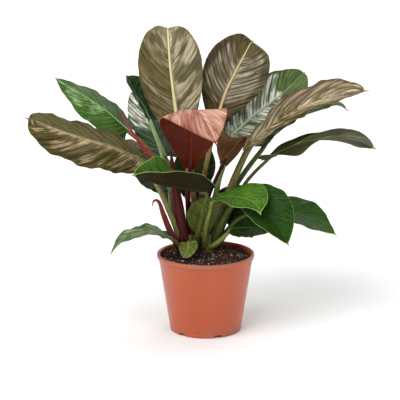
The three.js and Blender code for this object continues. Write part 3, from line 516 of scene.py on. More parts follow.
class PotSettings(PropertyGroup):
    """Sizes and finish of the nursery pot"""

    height: FloatProperty(name="Height", description="Height of the pot, mm", default=137.0)
    rim_radius: FloatProperty(name="Rim radius", description="Outside of the rim, mm", default=85.0)
    base_radius: FloatProperty(name="Base radius", description="Outside of the foot, mm", default=62.0)
    wall: FloatProperty(name="Wall", description="Thickness of the wall, mm", default=1.6)
    notches: IntProperty(name="Notches", description="Drainage notches round the foot", default=6, min=0)
    colour: FloatVectorProperty(
        name="Colour", description="Colour of the plastic", subtype="COLOR", size=4,
        default=linear("#ae491d"), min=0, max=1,
    )


class CompostSettings(PropertyGroup):
    """The compost and what lies in it"""

    edge_height: FloatProperty(name="Edge height", description="Height at the pot's wall, mm", default=127.0)
    mound: FloatProperty(name="Mound", description="Rise of the middle over the edge, mm", default=7.0)
    crumbs: IntProperty(name="Crumbs", description="Loose crumbs of peat on the top", default=1500, min=0)
    perlite: IntProperty(name="Perlite", description="Pale grains on the top", default=220, min=0)
    bark: IntProperty(name="Bark", description="Chips of bark on the top", default=130, min=0)
    seed: IntProperty(name="Seed", description="Seed of the random places", default=7)
    colour: FloatVectorProperty(
        name="Colour", description="Colour of moist peat", subtype="COLOR", size=4,
        default=linear("#381b0c"), min=0, max=1,
    )


class LeafSettings(PropertyGroup):
    """How the leaves are made"""

    thickness: FloatProperty(name="Thickness", description="Blade beside the midrib, mm", default=1.0)
    edge: FloatProperty(name="Edge", description="Blade at its edge, mm", default=0.6)
    relief: FloatProperty(name="Relief", description="Scale of the quilting between veins", default=1.0)
    gloss: FloatProperty(name="Gloss", description="How glossy the skin is", default=0.2, min=0, max=1)
    rib: FloatProperty(name="Midrib", description="Half the midrib's width at its base, mm", default=3.2)
    margin: FloatProperty(name="Margin", description="Width of the margin's own colour, mm", default=0.5)


class StageSettings(PropertyGroup):
    """Floor, light and camera"""

    key: FloatProperty(name="Key light", description="Strength of the light from the upper left", default=2.5)
    fill: FloatProperty(name="Fill light", description="Strength of the light from the right", default=0.6)
    top: FloatProperty(name="Top light", description="Strength of the light from above", default=1.0)
    back: FloatProperty(name="Back light", description="Strength of the light from behind", default=0.7)
    softness: FloatProperty(
        name="Softness", description="How wide each lamp looks from the plant", subtype="ANGLE",
        default=math.radians(50),
    )
    sky: FloatProperty(name="Sky", description="Strength of the light all round", default=0.35)
    lens: FloatProperty(name="Lens", description="Focal length, mm", default=126.0)
    pitch: FloatProperty(
        name="Pitch", description="How far the camera looks down", subtype="ANGLE",
        default=math.radians(13.3),
    )
    floor: FloatVectorProperty(
        name="Floor", description="Colour of the floor", subtype="COLOR", size=4,
        default=(0.9, 0.9, 0.9, 1), min=0, max=1,
    )


# Meshes


def smooth_line(points):
    """Evenly spaced points of a curve through points, and its length."""
    given = np.array(points, float)
    knots = np.vstack([2 * given[0] - given[1], given, 2 * given[-1] - given[-2]])
    t = np.linspace(0, len(given) - 1, LINE_SAMPLES)
    i = np.minimum(t.astype(int), len(given) - 2)
    s = (t - i)[:, None]
    before, start, end, after = (knots[i + k] for k in range(4))
    leave, arrive = (end - before) / 2, (after - start) / 2
    curve = (2 * s**3 - 3 * s**2 + 1) * start + (s**3 - 2 * s**2 + s) * leave
    curve += (3 * s**2 - 2 * s**3) * end + (s**3 - s**2) * arrive
    reached = np.concatenate([[0], np.cumsum(np.linalg.norm(np.diff(curve, axis=0), axis=1))])
    even = np.linspace(0, reached[-1], FRAME_STEPS + 1)
    return np.stack([np.interp(even, reached, curve[:, k]) for k in range(3)], -1), reached[-1]


def framed_line(points, face, twist):
    """A curve with the direction along it, to its upper side and to its right at each step."""
    centre, length = smooth_line(points)
    along = unit(np.gradient(centre, axis=0))
    up = np.array(face, float)
    ups = []
    for k, direction in enumerate(along):
        up = unit(up - direction * (up @ direction))
        turn = math.radians(twist) * k / FRAME_STEPS
        ups.append(up * math.cos(turn) + np.cross(direction, up) * math.sin(turn))
    ups = np.array(ups)
    return {"centre": centre, "along": along, "up": ups, "side": np.cross(along, ups), "length": length}


def frames_at(line, share):
    """Centre, up and side at shares of a line's length. Before the start it goes straight back."""
    steps = np.linspace(0, 1, FRAME_STEPS + 1)
    place = np.clip(share, 0, 1)

    def mixed(key):
        return np.stack([np.interp(place, steps, line[key][:, k]) for k in range(3)], -1)

    back = np.minimum(share, 0)[..., None] * line["length"] * line["along"][0]
    return mixed("centre") + back, unit(mixed("up")), unit(mixed("side"))


def section_at(distance, half_width, fold, cup):
    """Out and up from the midrib, on an arc that starts at the fold and curls on by the cup."""
    start = np.radians(fold)
    bend = np.radians(np.where(np.abs(cup) < 0.01, 0.01, cup)) / half_width
    end = start + bend * distance
    return (np.sin(end) - np.sin(start)) / bend, (np.cos(start) - np.cos(end)) / bend


def outline_share(row):
    """How far along the outline a row ends, from the hindmost point of the base to the tip."""
    return 1 - (1 - row) ** EDGE_SPACING


def half_width_at(leaf, share):
    """Half the blade's width: a half sine wave, widest where the leaf is, drawn out to a spike."""

    def stretch(value):
        return lerp(BLUNT_BASE, 1, value / (1 - TIP_SPIKE["share"]))

    shift = math.log(0.5) / math.log(stretch(leaf["widest"]))
    wave = np.sin(math.pi * np.minimum(1, stretch(share) ** shift))
    power = np.where(share < leaf["widest"], *leaf["ends"])
    spike = TIP_SPIKE["half"] * np.minimum(1, (1 - share) / TIP_SPIKE["share"])
    widest = leaf["width"] / 2 - TIP_SPIKE["half"]
    return np.maximum(NARROWEST, widest * np.maximum(wave, 0) ** power + spike)


def vein_count(leaf, row, reach):
    """How many side veins lie behind a place. They lean to the tip, and their spacing wanders a little."""
    even = (row - leaf["slant"] * reach) * leaf["veins"]
    return even + VEIN_DRIFT["reach"] * np.sin(even * VEIN_DRIFT["pace"] + leaf["seed"])


def blade_surface(leaf, line, row, column, distance):
    """Points of the blade's middle surface and its normals, for arrays of rows and columns."""
    reach = np.abs(column)
    right = (column > 0).astype(int)
    end = lerp(-leaf["lobe"], 1, outline_share(row))
    share = lerp(row**RIB_SPACING, end, reach**VEIN_SWEEP)
    centre, up, side = frames_at(line, share)
    fold = leaf["fold"][right] + leaf["roll"][right] * row**2
    cup = leaf["cup"][right]
    out, rise = section_at(distance, leaf["width"] / 2, fold, cup)
    turn = 2 * math.pi * leaf["waves"] * end + leaf["phase"] + right * WAVE_SHIFT
    height = leaf["wave"][right] * reach**2
    wave = height * np.sin(turn) * np.minimum(1, WAVE_FADE * (1 - end))
    wave += leaf["ruffle"] * reach**3 * np.sin(turn * RUFFLE_PACE + leaf["seed"]) * (1 - end**4)
    sign = np.sign(column)
    points = centre + side * (sign * out)[..., None] + up * (rise + wave)[..., None]
    slope = np.radians(fold + cup * distance * 2 / leaf["width"])
    normal = side * (-sign * np.sin(slope))[..., None] + up * np.cos(slope)[..., None]
    return points, unit(normal)


def quilting(leaf, row, column):
    """How far the blade rises between its side veins."""
    reach = np.abs(column)
    right = (column > 0).astype(int)
    count = vein_count(leaf, row, reach)
    varied = 1 - QUILT["spread"] * (1 - np.sin(count * QUILT["pace"] + leaf["seed"]))
    arch = np.abs(np.sin(math.pi * count)) ** QUILT["power"] * varied
    at_edge = QUILT_FADE["at edge"] * smoothstep(*QUILT_FADE["edge"], reach)
    fade = smoothstep(*QUILT_FADE["rib"], reach) * (1 - at_edge)
    taper = smoothstep(*QUILT_FADE["base"], row) * (1 - smoothstep(*QUILT_FADE["tip"], row))
    turn = count * SWELL["pace"] + reach * SWELL["lean"] + leaf["seed"]
    swell = SWELL["height"] * np.sin(turn) * np.sin(math.pi * reach)
    return leaf["quilt"][right] * ((arch - ARCH_MEAN) * fade + swell) * taper


def blade_rings(leaf, line, settings):
    """Rings round the blade, upper side and then lower, with the places of their points in the maps."""
    rows = leaf["veins"] * ROWS_PER_VEIN
    row = np.linspace(0, 1, rows + 1)[:, None]
    scallops = np.abs(np.sin(math.pi * vein_count(leaf, row, 1))) - ARCH_MEAN
    half = half_width_at(leaf, outline_share(row)) * (1 + SCALLOP * scallops * (1 - row**4))
    rib = np.minimum(lerp(RIB_AT_BASE["half"], RIB_AT_TIP["half"], row), half * RIB_SHARE)
    inner = rib * np.linspace(0, 1, RIB_COLUMNS + 1)[None, :]
    outward = 1 - (1 - np.linspace(0, 1, WEB_COLUMNS + 1)[1:]) ** WEB_SPACING
    distance = np.hstack([inner, lerp(rib, half, outward[None, :])])
    column = np.hstack([-(distance / half)[:, :0:-1], distance / half])
    distance = np.hstack([distance[:, :0:-1], distance])
    row = np.broadcast_to(row, column.shape)
    middle, normal = blade_surface(leaf, line, row, column, distance)
    on_rib = np.sqrt(np.clip(1 - (distance / rib) ** 2, 0, 1))
    scale = leaf["radius"] / RIB_RADIUS
    height = lerp(RIB_AT_BASE["height"], RIB_AT_TIP["height"], row) * scale * on_rib
    depth = lerp(RIB_AT_BASE["depth"], RIB_AT_TIP["depth"], np.sqrt(row)) * scale * on_rib
    sheet = lerp(settings.thickness, settings.edge, np.abs(column)) / 2
    quilt = quilting(leaf, row, column) * settings.relief
    upper = middle + normal * (sheet + quilt + height)[..., None]
    lower = middle - normal * (sheet - quilt + depth)[..., None]
    across = np.stack([column / 2 + 0.5, row, distance / MAP_UNIT, half / MAP_UNIT * np.ones_like(row)], -1)
    return np.hstack([upper, lower[:, ::-1]]), np.hstack([across, across[:, ::-1]])


def ring_faces(rings, count):
    """Quads between closed rings, and the number of each face's first point in its ring."""
    ring, k = np.meshgrid(np.arange(rings - 1), np.arange(count), indexing="ij")
    a, b = ring * count + k, ring * count + (k + 1) % count
    return np.stack([a, b, b + count, a + count], -1).reshape(-1, 4), k.reshape(-1)


def cap_faces(start, count, backwards):
    """Quads across a ring between its first half and its second half."""
    k = np.arange(count // 2 - 1)
    quad = np.stack([k, count - 1 - k, count - 2 - k, k + 1], -1) + start
    return quad[:, ::-1] if backwards else quad


class MeshParts:
    """Gathers the parts of one mesh: points in millimetres, faces, finishes and places in the maps.

    The map Growth says how far along and across a point grew, and Sizes how far it lies from the middle
    line and how wide that side is there, in units of MAP_UNIT.
    """

    def __init__(self):
        self.points, self.faces, self.finish, self.places = [], [], [], []
        self.count = 0

    def add(self, points, faces, finish, places):
        points = np.asarray(points, float).reshape(-1, 3)
        self.points.append(points)
        self.faces += (np.asarray(faces) + self.count).tolist()
        self.finish += np.broadcast_to(finish, len(faces)).tolist()
        places = np.asarray(places, float).reshape(len(points), -1)
        self.places.append(np.hstack([places, np.zeros((len(points), 4 - places.shape[1]))]))
        self.count += len(points)

    def add_rings(self, rings, finish, places):
        """Closed rings with caps. finish is one number, or one for each point of a ring."""
        count = rings.shape[1]
        faces, first = ring_faces(len(rings), count)
        finishes = np.broadcast_to(finish, count)[first]
        ends = np.vstack([cap_faces(0, count, False), cap_faces((len(rings) - 1) * count, count, True)])
        kinds = np.concatenate([finishes, np.full(len(ends), finishes[0])])
        self.add(rings, np.vstack([faces, ends]), kinds, places)

    def piece(self, name, materials):
        """The mesh as an object in the scene, in metres."""
        points = np.vstack(self.points) * MM
        mesh = bpy.data.meshes.new(name)
        mesh.from_pydata(points.tolist(), [], self.faces)
        for material in materials:
            mesh.materials.append(material)
        mesh.polygons.foreach_set("material_index", self.finish)
        mesh.polygons.foreach_set("use_smooth", [True] * len(mesh.polygons))
        corners = np.zeros(len(mesh.loops), int)
        mesh.loops.foreach_get("vertex_index", corners)
        places = np.vstack(self.places)[corners]
        mesh.uv_layers.new(name="Growth").data.foreach_set("uv", places[:, :2].ravel())
        mesh.uv_layers.new(name="Sizes").data.foreach_set("uv", places[:, 2:].ravel())
        mesh.update()
        if mesh.validate():
            raise RuntimeError(f"{name} has bad faces")
        return linked_piece(name, mesh)


def stalk_rings(points, radius_at, face, steps, shape=None):
    """Rings round a stalk. shape scales the radius by the angle from its upper side and the share."""
    line = framed_line(points, face, 0)
    share = np.linspace(0, 1, steps + 1)
    centre, up, side = frames_at(line, share)
    turn = 2 * math.pi * (np.arange(STALK_SIDES) + 0.5) / STALK_SIDES
    radius = radius_at(share, line["length"])[:, None] * np.ones(STALK_SIDES)[None, :]
    if shape is not None:
        radius = radius * shape(turn[None, :] - math.pi / 2, share[:, None])
    across = -np.cos(turn)[None, :, None] * side[:, None, :]
    above = np.sin(turn)[None, :, None] * up[:, None, :]
    rings = centre[:, None, :] + (across + above) * radius[..., None]
    around = np.broadcast_to(np.arange(STALK_SIDES) / STALK_SIDES, radius.shape)
    places = np.stack([around, np.broadcast_to(share[:, None], radius.shape)], -1)
    return rings, places


def petiole_points(leaf, line):
    """The petiole's points, from its root to a little way along under the midrib."""
    centre, up, _ = frames_at(line, np.array([0, LANDING]))
    drops = np.array([NECK_DROP, LANDING_DROP])[:, None] * leaf["radius"]
    return np.vstack([leaf["petiole"], centre - up * drops])


def petiole_rings(leaf, line):
    def radius_at(share, length):
        foot = np.maximum(0, 1 - share * length / FOOT_LENGTH)
        taper = lerp(ROOT_SHARE, NECK_SHARE, share)
        taper = lerp(taper, END_SHARE, smoothstep(*THINNING, share))
        return leaf["radius"] * (taper + FOOT_SWELL * foot)

    def channel(turn, share):
        from_top = np.arctan2(np.sin(turn), np.cos(turn))
        depth = CHANNEL["depth"] * smoothstep(0, CHANNEL["from"], share)
        return 1 - depth * np.exp(-((from_top / CHANNEL["width"]) ** 2))

    points = petiole_points(leaf, line)
    length = np.linalg.norm(np.diff(points, axis=0), axis=1).sum()
    return stalk_rings(points, radius_at, leaf["face"], int(length / STALK_STEP), channel)


# Node trees


def feed(tree, socket, value):
    """Links a socket to value if that is a socket too, and otherwise sets it."""
    if isinstance(value, bpy.types.NodeSocket):
        tree.links.new(value, socket)
    else:
        socket.default_value = value


def node(tree, kind, inputs=None, **settings):
    """A new node with its settings and inputs."""
    made = tree.nodes.new(kind)
    for key, value in settings.items():
        setattr(made, key, value)
    for key, value in (inputs or {}).items():
        feed(tree, made.inputs[key], value)
    return made


def arithmetic(tree, operation, *values):
    return node(tree, "ShaderNodeMath", dict(enumerate(values)), operation=operation).outputs[0]


def mixed_colour(tree, factor, first, second):
    inputs = {0: factor, 6: first, 7: second}
    return node(tree, "ShaderNodeMix", inputs, data_type="RGBA").outputs[2]


def eased(tree, value, low, high, to_low=0.0, to_high=1.0):
    """value's way from low to high, eased at both ends, as a number from to_low to to_high."""
    inputs = {"Value": value, "From Min": low, "From Max": high, "To Min": to_low, "To Max": to_high}
    made = node(tree, "ShaderNodeMapRange", inputs, interpolation_type="SMOOTHSTEP")
    return made.outputs["Result"]


def brightened(tree, colour, value):
    return node(tree, "ShaderNodeHueSaturation", {"Value": value, "Color": colour}).outputs[0]


def object_place(tree):
    return node(tree, "ShaderNodeTexCoord").outputs["Object"]


def map_place(tree, name):
    """A point's place in one of the maps, as sockets X and Y."""
    place = node(tree, "ShaderNodeUVMap", uv_map=name).outputs[0]
    return node(tree, "ShaderNodeSeparateXYZ", {0: place}).outputs


def noise_value(tree, vector, scale, detail=3.0, roughness=0.55):
    inputs = {"Vector": vector, "Scale": scale, "Detail": detail, "Roughness": roughness}
    return node(tree, "ShaderNodeTexNoise", inputs).outputs["Fac"]


def stretched(tree, vector, scale):
    return node(tree, "ShaderNodeMapping", {"Vector": vector, "Scale": scale}).outputs[0]


def node_group(name, colours, values=()):
    """Turns a function that draws colour, roughness and height into one that gives their node group."""

    def decorated(draw):
        def group():
            if name in bpy.data.node_groups:
                return bpy.data.node_groups[name]
            tree = bpy.data.node_groups.new(name, "ShaderNodeTree")
            for label in (*colours, *values):
                kind = "NodeSocketColor" if label in colours else "NodeSocketFloat"
                tree.interface.new_socket(name=label, in_out="INPUT", socket_type=kind)
            for label in ("Color", "Roughness", "Height"):
                kind = "NodeSocketColor" if label == "Color" else "NodeSocketFloat"
                tree.interface.new_socket(name=label, in_out="OUTPUT", socket_type=kind)
            drawn = draw(tree, tree.nodes.new("NodeGroupInput").outputs)
            for socket, value in zip(tree.nodes.new("NodeGroupOutput").inputs, drawn):
                feed(tree, socket, value)
            return tree

        return group

    return decorated


# Patches, the places of painted shade from folds, broad, fine and hair streaks: how many to a half's width
# and to a side vein, where they lie in the noise, and its detail
STREAKS = (
    (1.5, 0.5, 31.0, 2.0), (1.3, 0.8, 47.0, 2.0), (2.2, 1.7, 0.0, 2.0), (3.0, 6.0, 9.0, 3.0),
    (4.0, 18.0, 17.0, 2.0),
)
# The most that the painted sheen, a painted reflection, covers the leaf's colour
MOST_PAINTED_SHEEN = 0.8


@node_group(
    "Leaf face",
    [part.capitalize() for part in LOOK_PARTS[:-1]],
    [f"{side} {key}" for key in COLOURED_BY_HALF for side in ("Left", "Right")] + [
        "Veins", "Slant", "Seed", "Silver from", "Silver to", "Silver edge", "Softness", "Base dusk",
        "Pale veins", "Dark veins", "Rib width", "Margin width",
    ],
)
def leaf_group(tree, given):
    """Colour, roughness and height of a leaf's face, drawn along its veins, with painted sheen, painted shade
    and painted light in its colour.
    """

    def number(operation, *values):
        return arithmetic(tree, operation, *values)

    def times(first, second):
        return number("MULTIPLY", first, second)

    def scaled(value, factor, shift):
        return number("MULTIPLY_ADD", value, factor, shift)

    def rest(value):
        return number("SUBTRACT", 1.0, value)

    def ease(*values):
        return eased(tree, *values)

    def by_half(key):
        sides = {0: is_right, 2: given[f"Left {key}"], 3: given[f"Right {key}"]}
        return node(tree, "ShaderNodeMix", sides).outputs[0]

    place = object_place(tree)
    growth = map_place(tree, "Growth")
    sizes = map_place(tree, "Sizes")
    row = growth["Y"]
    across = scaled(growth["X"], 2.0, -1.0)
    reach = number("ABSOLUTE", across)
    is_right = number("GREATER_THAN", across, 0.0)
    side_seed = scaled(is_right, 5.0, given["Seed"])

    # Side veins, at the whole numbers of count
    leaning = number("SUBTRACT", row, times(reach, given["Slant"]))
    even = times(leaning, given["Veins"])
    wander = number("SINE", scaled(even, VEIN_DRIFT["pace"], given["Seed"]))
    count = scaled(wander, VEIN_DRIFT["reach"], even)
    ripple = number("PINGPONG", count, 0.5)
    on_web = ease(reach, 0.04, 0.14)
    vein_width = ease(reach, 0.1, 1.0, 0.13, 0.05)
    on_vein = times(ease(ripple, vein_width, 0.0), on_web)
    groove_width = ease(reach, 0.0, 1.0, 0.18, 0.24)
    near_vein = times(ease(ripple, groove_width, 0.02), on_web)

    # Patches and streaks that run along the side veins, from broad to fine
    def streak(width, pace, shift, detail):
        parts = {
            "X": times(reach, width),
            "Y": times(count, pace),
            "Z": number("ADD", side_seed, shift),
        }
        vector = node(tree, "ShaderNodeCombineXYZ", parts).outputs[0]
        return ease(noise_value(tree, vector, 1.0, detail), 0.3, 0.7)

    patches, fold_shade_patches, broad_streaks, fine_streaks, hair_streaks = (streak(*kind) for kind in STREAKS)

    # Where the blade gets painted sheen: a painted reflection, in pale streaks between the side veins
    by_rib = ease(reach, 0.36, 0.1)
    hug = times(by_half("hug"), by_rib)
    amount = number("ADD", by_half("silver"), hug)
    from_low = number("SUBTRACT", given["Silver from"], 0.12)
    to_high = number("ADD", given["Silver to"], 0.15)
    starts = ease(row, from_low, given["Silver from"])
    stops = ease(row, to_high, given["Silver to"])
    far, near = (number("ADD", given["Silver edge"], shift) for shift in (0.12, -0.12))
    inside = times(ease(reach, far, near), times(starts, stops))
    level = rest(times(amount, inside))
    mix = scaled(fine_streaks, 0.25, times(broad_streaks, 0.35))
    mix = scaled(patches, 0.4, mix)
    low, high = (number(way, level, given["Softness"]) for way in ("SUBTRACT", "ADD"))
    silver = ease(mix, low, high, 0.0, MOST_PAINTED_SHEEN)

    # Painted shade of the blade's folds in dark patches, and painted shade in the grooves along the side
    # veins, both stronger in places; where either lies, the painted sheen gives way
    smudge = times(by_half("smudge"), on_web)
    smudge = times(smudge, ease(fold_shade_patches, 0.35, 0.8))
    smudge = times(smudge, ease(fine_streaks, 0.0, 1.0, 0.6, 1.0))
    dark = times(near_vein, given["Dark veins"])
    dark = times(dark, ease(broad_streaks, 0.0, 0.8, 0.4, 1.0))
    for cut in (smudge, dark):
        silver = times(silver, rest(cut))

    # Colour: mottled, with painted sheen between the veins, painted shade in folds and grooves, and each half
    # painted lighter or darker
    cloud = noise_value(tree, place, 26.0)
    mottle = scaled(fine_streaks, 0.4, times(cloud, 0.6))
    colour = mixed_colour(tree, ease(mottle, 0.3, 0.7), given["Shade"], given["Tone"])
    # Painted sheen: the pale colour of a painted reflection, laid between the veins
    colour = mixed_colour(tree, silver, colour, given["Silver"])
    # Painted shade: the fold patches and the vein grooves darkened towards the groove colour
    colour = mixed_colour(tree, times(smudge, 0.55), colour, given["Groove"])
    colour = mixed_colour(tree, dark, colour, given["Groove"])
    pale = times(on_vein, given["Pale veins"])
    colour = mixed_colour(tree, pale, colour, given["Vein"])
    # Painted light and shade: each half is made lighter or darker for how the light falls on it
    light = times(by_half("light"), ease(hair_streaks, 0.1, 0.9, 0.84, 1.14))
    # Painted shade: darker towards the edge and towards the base of the blade
    at_edge = times(by_half("dusk"), ease(reach, 0.4, 1.0))
    at_base = times(given["Base dusk"], ease(row, 0.5, 0.04))
    for dusk in (at_edge, at_base):
        light = times(light, rest(dusk))
    colour = brightened(tree, colour, light)

    # Midrib, with painted shade in the creases beside it, and margin
    distance = number("ABSOLUTE", sizes["X"])
    fall = number("POWER", rest(row), 1.3)
    rib = times(given["Rib width"], scaled(fall, 0.75, 0.25))
    beside = ease(distance, times(rib, 3.0), rib, 0.0, 0.45)
    colour = mixed_colour(tree, beside, colour, given["Groove"])
    on_rib = ease(distance, rib, times(rib, 0.6))
    rib_light = ease(hair_streaks, 0.1, 0.9, 0.86, 1.06)
    rib_colour = brightened(tree, given["Vein"], rib_light)
    colour = mixed_colour(tree, on_rib, colour, rib_colour)
    inward = number("SUBTRACT", sizes["Y"], distance)
    margin = given["Margin width"]
    on_margin = ease(inward, margin, times(margin, 0.4))
    colour = mixed_colour(tree, on_margin, colour, given["Margin"])

    # Roughness and fine relief
    rough = ease(cloud, 0.3, 0.7, 0.34, 0.48)
    rough = scaled(silver, -0.06, rough)
    rough = scaled(on_rib, 0.1, rough)
    threads = number("PINGPONG", times(count, 6.0), 0.5)
    height = scaled(threads, 0.5, times(fine_streaks, 0.6))
    height = scaled(noise_value(tree, place, 420.0, 3.0), 0.25, height)
    return colour, rough, scaled(on_vein, -0.8, height)


@node_group("Stalk skin", ("Root", "Neck"))
def stalk_group(tree, given):
    """Colour, roughness and height of a stalk, streaked along its length and darkened towards its root as
    painted shade.
    """
    place = object_place(tree)
    share = map_place(tree, "Growth")["Y"]
    streaks = noise_value(tree, stretched(tree, place, (1.0, 1.0, 0.12)), 420.0)
    blotches = noise_value(tree, place, 60.0)
    way = arithmetic(tree, "MULTIPLY_ADD", blotches, 0.5, arithmetic(tree, "SUBTRACT", share, 0.25))
    colour = mixed_colour(tree, eased(tree, way, 0.05, 0.95), given["Root"], given["Neck"])
    value = eased(tree, streaks, 0.3, 0.7, 0.72, 1.25)
    # Painted shade: darker near the root, where the stalks stand in the plant's shade
    value = arithmetic(tree, "MULTIPLY", value, eased(tree, share, 0.02, 0.3, 0.6, 1.0))
    return brightened(tree, colour, value), eased(tree, blotches, 0.3, 0.7, 0.3, 0.45), streaks


def new_material(name, group, values, bump, distance, finish):
    """A material whose colour, roughness and bump come from a group with its own values."""
    material = bpy.data.materials.new(name)
    material.use_nodes = True
    tree = material.node_tree
    tree.nodes.clear()
    pattern = tree.nodes.new("ShaderNodeGroup")
    pattern.node_tree = group
    for key, value in values.items():
        pattern.inputs[key].default_value = value
    height = {"Height": pattern.outputs["Height"], "Strength": bump, "Distance": distance * MM}
    normal = node(tree, "ShaderNodeBump", height).outputs["Normal"]
    inputs = {"Base Color": pattern.outputs["Color"], "Roughness": pattern.outputs["Roughness"]}
    shader = node(tree, "ShaderNodeBsdfPrincipled", inputs | {"Normal": normal} | finish)
    node(tree, "ShaderNodeOutputMaterial", {"Surface": shader.outputs[0]})
    return material


def waxy(gloss):
    """The coat and reflection of a waxy skin."""
    return {"Coat Weight": 0.4 * gloss, "Coat Roughness": 0.3, "Specular IOR Level": gloss}


def leaf_materials(name, leaf, settings):
    """The materials of a leaf's upper side, lower side and stalk."""
    look = dict(zip(LOOK_PARTS, map(linear, LOOKS[leaf["look"]])))
    face = {part.capitalize(): look[part] for part in LOOK_PARTS[:-1]} | {
        "Veins": leaf["veins"], "Slant": leaf["slant"], "Seed": leaf["seed"], "Silver from": leaf["span"][0],
        "Silver to": leaf["span"][1], "Silver edge": leaf["edge"], "Softness": leaf["soft"],
        "Base dusk": leaf["base"], "Pale veins": leaf["pale"], "Dark veins": leaf["dark"],
        "Rib width": settings.rib * leaf["rib"] * leaf["radius"] / RIB_RADIUS / MAP_UNIT,
        "Margin width": settings.margin / MAP_UNIT,
    }
    dark, pale = (tuple(UNDER[way] * v for v in look["under"][:3]) + (1.0,) for way in ("dark", "pale"))
    back = face | {
        "Tone": look["under"], "Shade": dark, "Groove": dark, "Vein": pale, "Base dusk": 0.0,
        "Softness": UNDER["softness"], "Pale veins": UNDER["pale veins"], "Dark veins": UNDER["vein crease shade"],
    }
    for key in COLOURED_BY_HALF:
        face[f"Left {key}"], face[f"Right {key}"] = leaf[key]
        back[f"Left {key}"] = back[f"Right {key}"] = 1.0 if key == "light" else 0.0
    skin = stem_colours(leaf["stalk"])
    return [
        new_material(f"{name} upper", leaf_group(), face, 0.5, 0.5, waxy(settings.gloss * leaf["gloss"])),
        new_material(f"{name} under", leaf_group(), back, 0.5, 0.5, waxy(settings.gloss * UNDER["gloss"])),
        new_material(f"{name} stalk", stalk_group(), skin, 0.3, 0.4, waxy(settings.gloss * STALK_GLOSS)),
    ]


@node_group("Crumb", ("Light", "Dark"), ("Grain", "Rough"))
def crumb_group(tree, given):
    """Colour, roughness and height of loose, grainy stuff."""
    place = object_place(tree)
    coarse = noise_value(tree, place, 140.0, 2.0)
    fine = noise_value(tree, place, given["Grain"], 5.0, 0.65)
    both = arithmetic(tree, "MULTIPLY_ADD", coarse, 0.5, arithmetic(tree, "MULTIPLY", fine, 0.5))
    colour = mixed_colour(tree, eased(tree, both, 0.36, 0.62), given["Dark"], given["Light"])
    rough = arithmetic(tree, "MULTIPLY", given["Rough"], eased(tree, fine, 0.3, 0.7, 0.85, 1.0))
    return colour, rough, fine


@node_group("Moulded plastic", ("Plastic", "Dust"), ("Dustiness",))
def plastic_group(tree, given):
    """Colour, roughness and height of the pot's moulded plastic, dusty near the foot and the rim."""
    place = object_place(tree)
    flow = noise_value(tree, stretched(tree, place, (1.0, 1.0, 0.25)), 18.0, 3.0)
    cloud = noise_value(tree, place, 30.0, 4.0)
    skin = noise_value(tree, place, 900.0, 2.0)
    scratches = noise_value(tree, stretched(tree, place, (1.0, 1.0, 14.0)), 60.0, 3.0)
    height = node(tree, "ShaderNodeSeparateXYZ", {0: place}).outputs["Z"]
    low = eased(tree, height, 0.03, 0.0)
    high = eased(tree, height, 0.118, 0.137)
    ends = arithmetic(tree, "MAXIMUM", low, high)
    settled = arithmetic(tree, "MULTIPLY", ends, eased(tree, cloud, 0.35, 0.7))
    dusty = arithmetic(tree, "MULTIPLY", settled, given["Dustiness"])
    bright = brightened(tree, given["Plastic"], eased(tree, flow, 0.25, 0.75, 0.93, 1.06))
    colour = mixed_colour(tree, dusty, bright, given["Dust"])
    worn = eased(tree, scratches, 0.55, 0.75, 0.0, 0.08)
    rough = arithmetic(tree, "ADD", eased(tree, cloud, 0.3, 0.7, 0.3, 0.37), worn)
    rough = arithmetic(tree, "MULTIPLY_ADD", dusty, 0.3, rough)
    return colour, rough, arithmetic(tree, "MULTIPLY_ADD", skin, 0.25, flow)


# Pieces


def dress(piece, node_name):
    """Seats a piece on the frame in place of a node, which it hides."""
    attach(piece, "root")
    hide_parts(node_name)


def linked_piece(name, mesh):
    piece = bpy.data.objects.new(name, mesh)
    bpy.context.scene.collection.objects.link(piece)
    return piece


# Pot


def pot_section(settings):
    """The pot's section from the middle of its underside to the middle of its floor, rounded."""
    neck = settings.rim_radius - RIM_OVERHANG
    step = settings.height - STEP_BELOW_RIM
    rim = settings.height - RIM_DEPTH

    def body_at(z):
        return lerp(settings.base_radius, neck - STEP_RELIEF, z / step)

    foot = settings.base_radius
    line = FOOT_LINE["height"]
    # Each corner's radius, height and how far back from it its rounding starts
    corners = [
        (0, 0, 0),
        (CENTRE_PAD_RADIUS, 0, 0.5),
        (CENTRE_PAD_RADIUS, FLOOR_RAISE, 0.5),
        (foot - FOOT_WIDTH, FLOOR_RAISE, 0.6),
        (foot - FOOT_WIDTH, 0, 0.6),
        (foot, 0, 1.0),
        (body_at(line), line, 0.15),
        (body_at(line) - FOOT_LINE["depth"], line + FOOT_LINE["width"] / 2, 0.2),
        (body_at(line + FOOT_LINE["width"]), line + FOOT_LINE["width"], 0.15),
        (body_at(step), step, 0.8),
        (neck, step + STEP_RISE, 0.8),
        (neck + RIM_FLARE, rim, 1.0),
        (settings.rim_radius - RIM_DRAFT, rim + RIM_FLARE, 1.2),
        (settings.rim_radius, settings.height, 1.9),
        (neck - settings.wall + RIM_LIP["width"], settings.height, 1.2),
        (neck - settings.wall, settings.height - RIM_LIP["depth"], 0.8),
        (body_at(step) - settings.wall, step, 1.5),
        (body_at(FLOOR_RAISE + FLOOR) - settings.wall, FLOOR_RAISE + FLOOR, 2.5),
        (0, FLOOR_RAISE + FLOOR, 0),
    ]
    places = np.array(corners, float)
    section = [places[0, :2]]
    for before, corner, after in zip(places, places[1:], places[2:]):
        start = corner[:2] + unit(before[:2] - corner[:2]) * corner[2]
        end = corner[:2] + unit(after[:2] - corner[:2]) * corner[2]
        for t in np.linspace(0, 1, CORNER_POINTS):
            section.append(start * (1 - t) ** 2 + corner[:2] * 2 * t * (1 - t) + end * t**2)
    section.append(places[-1, :2])
    return np.array(section)


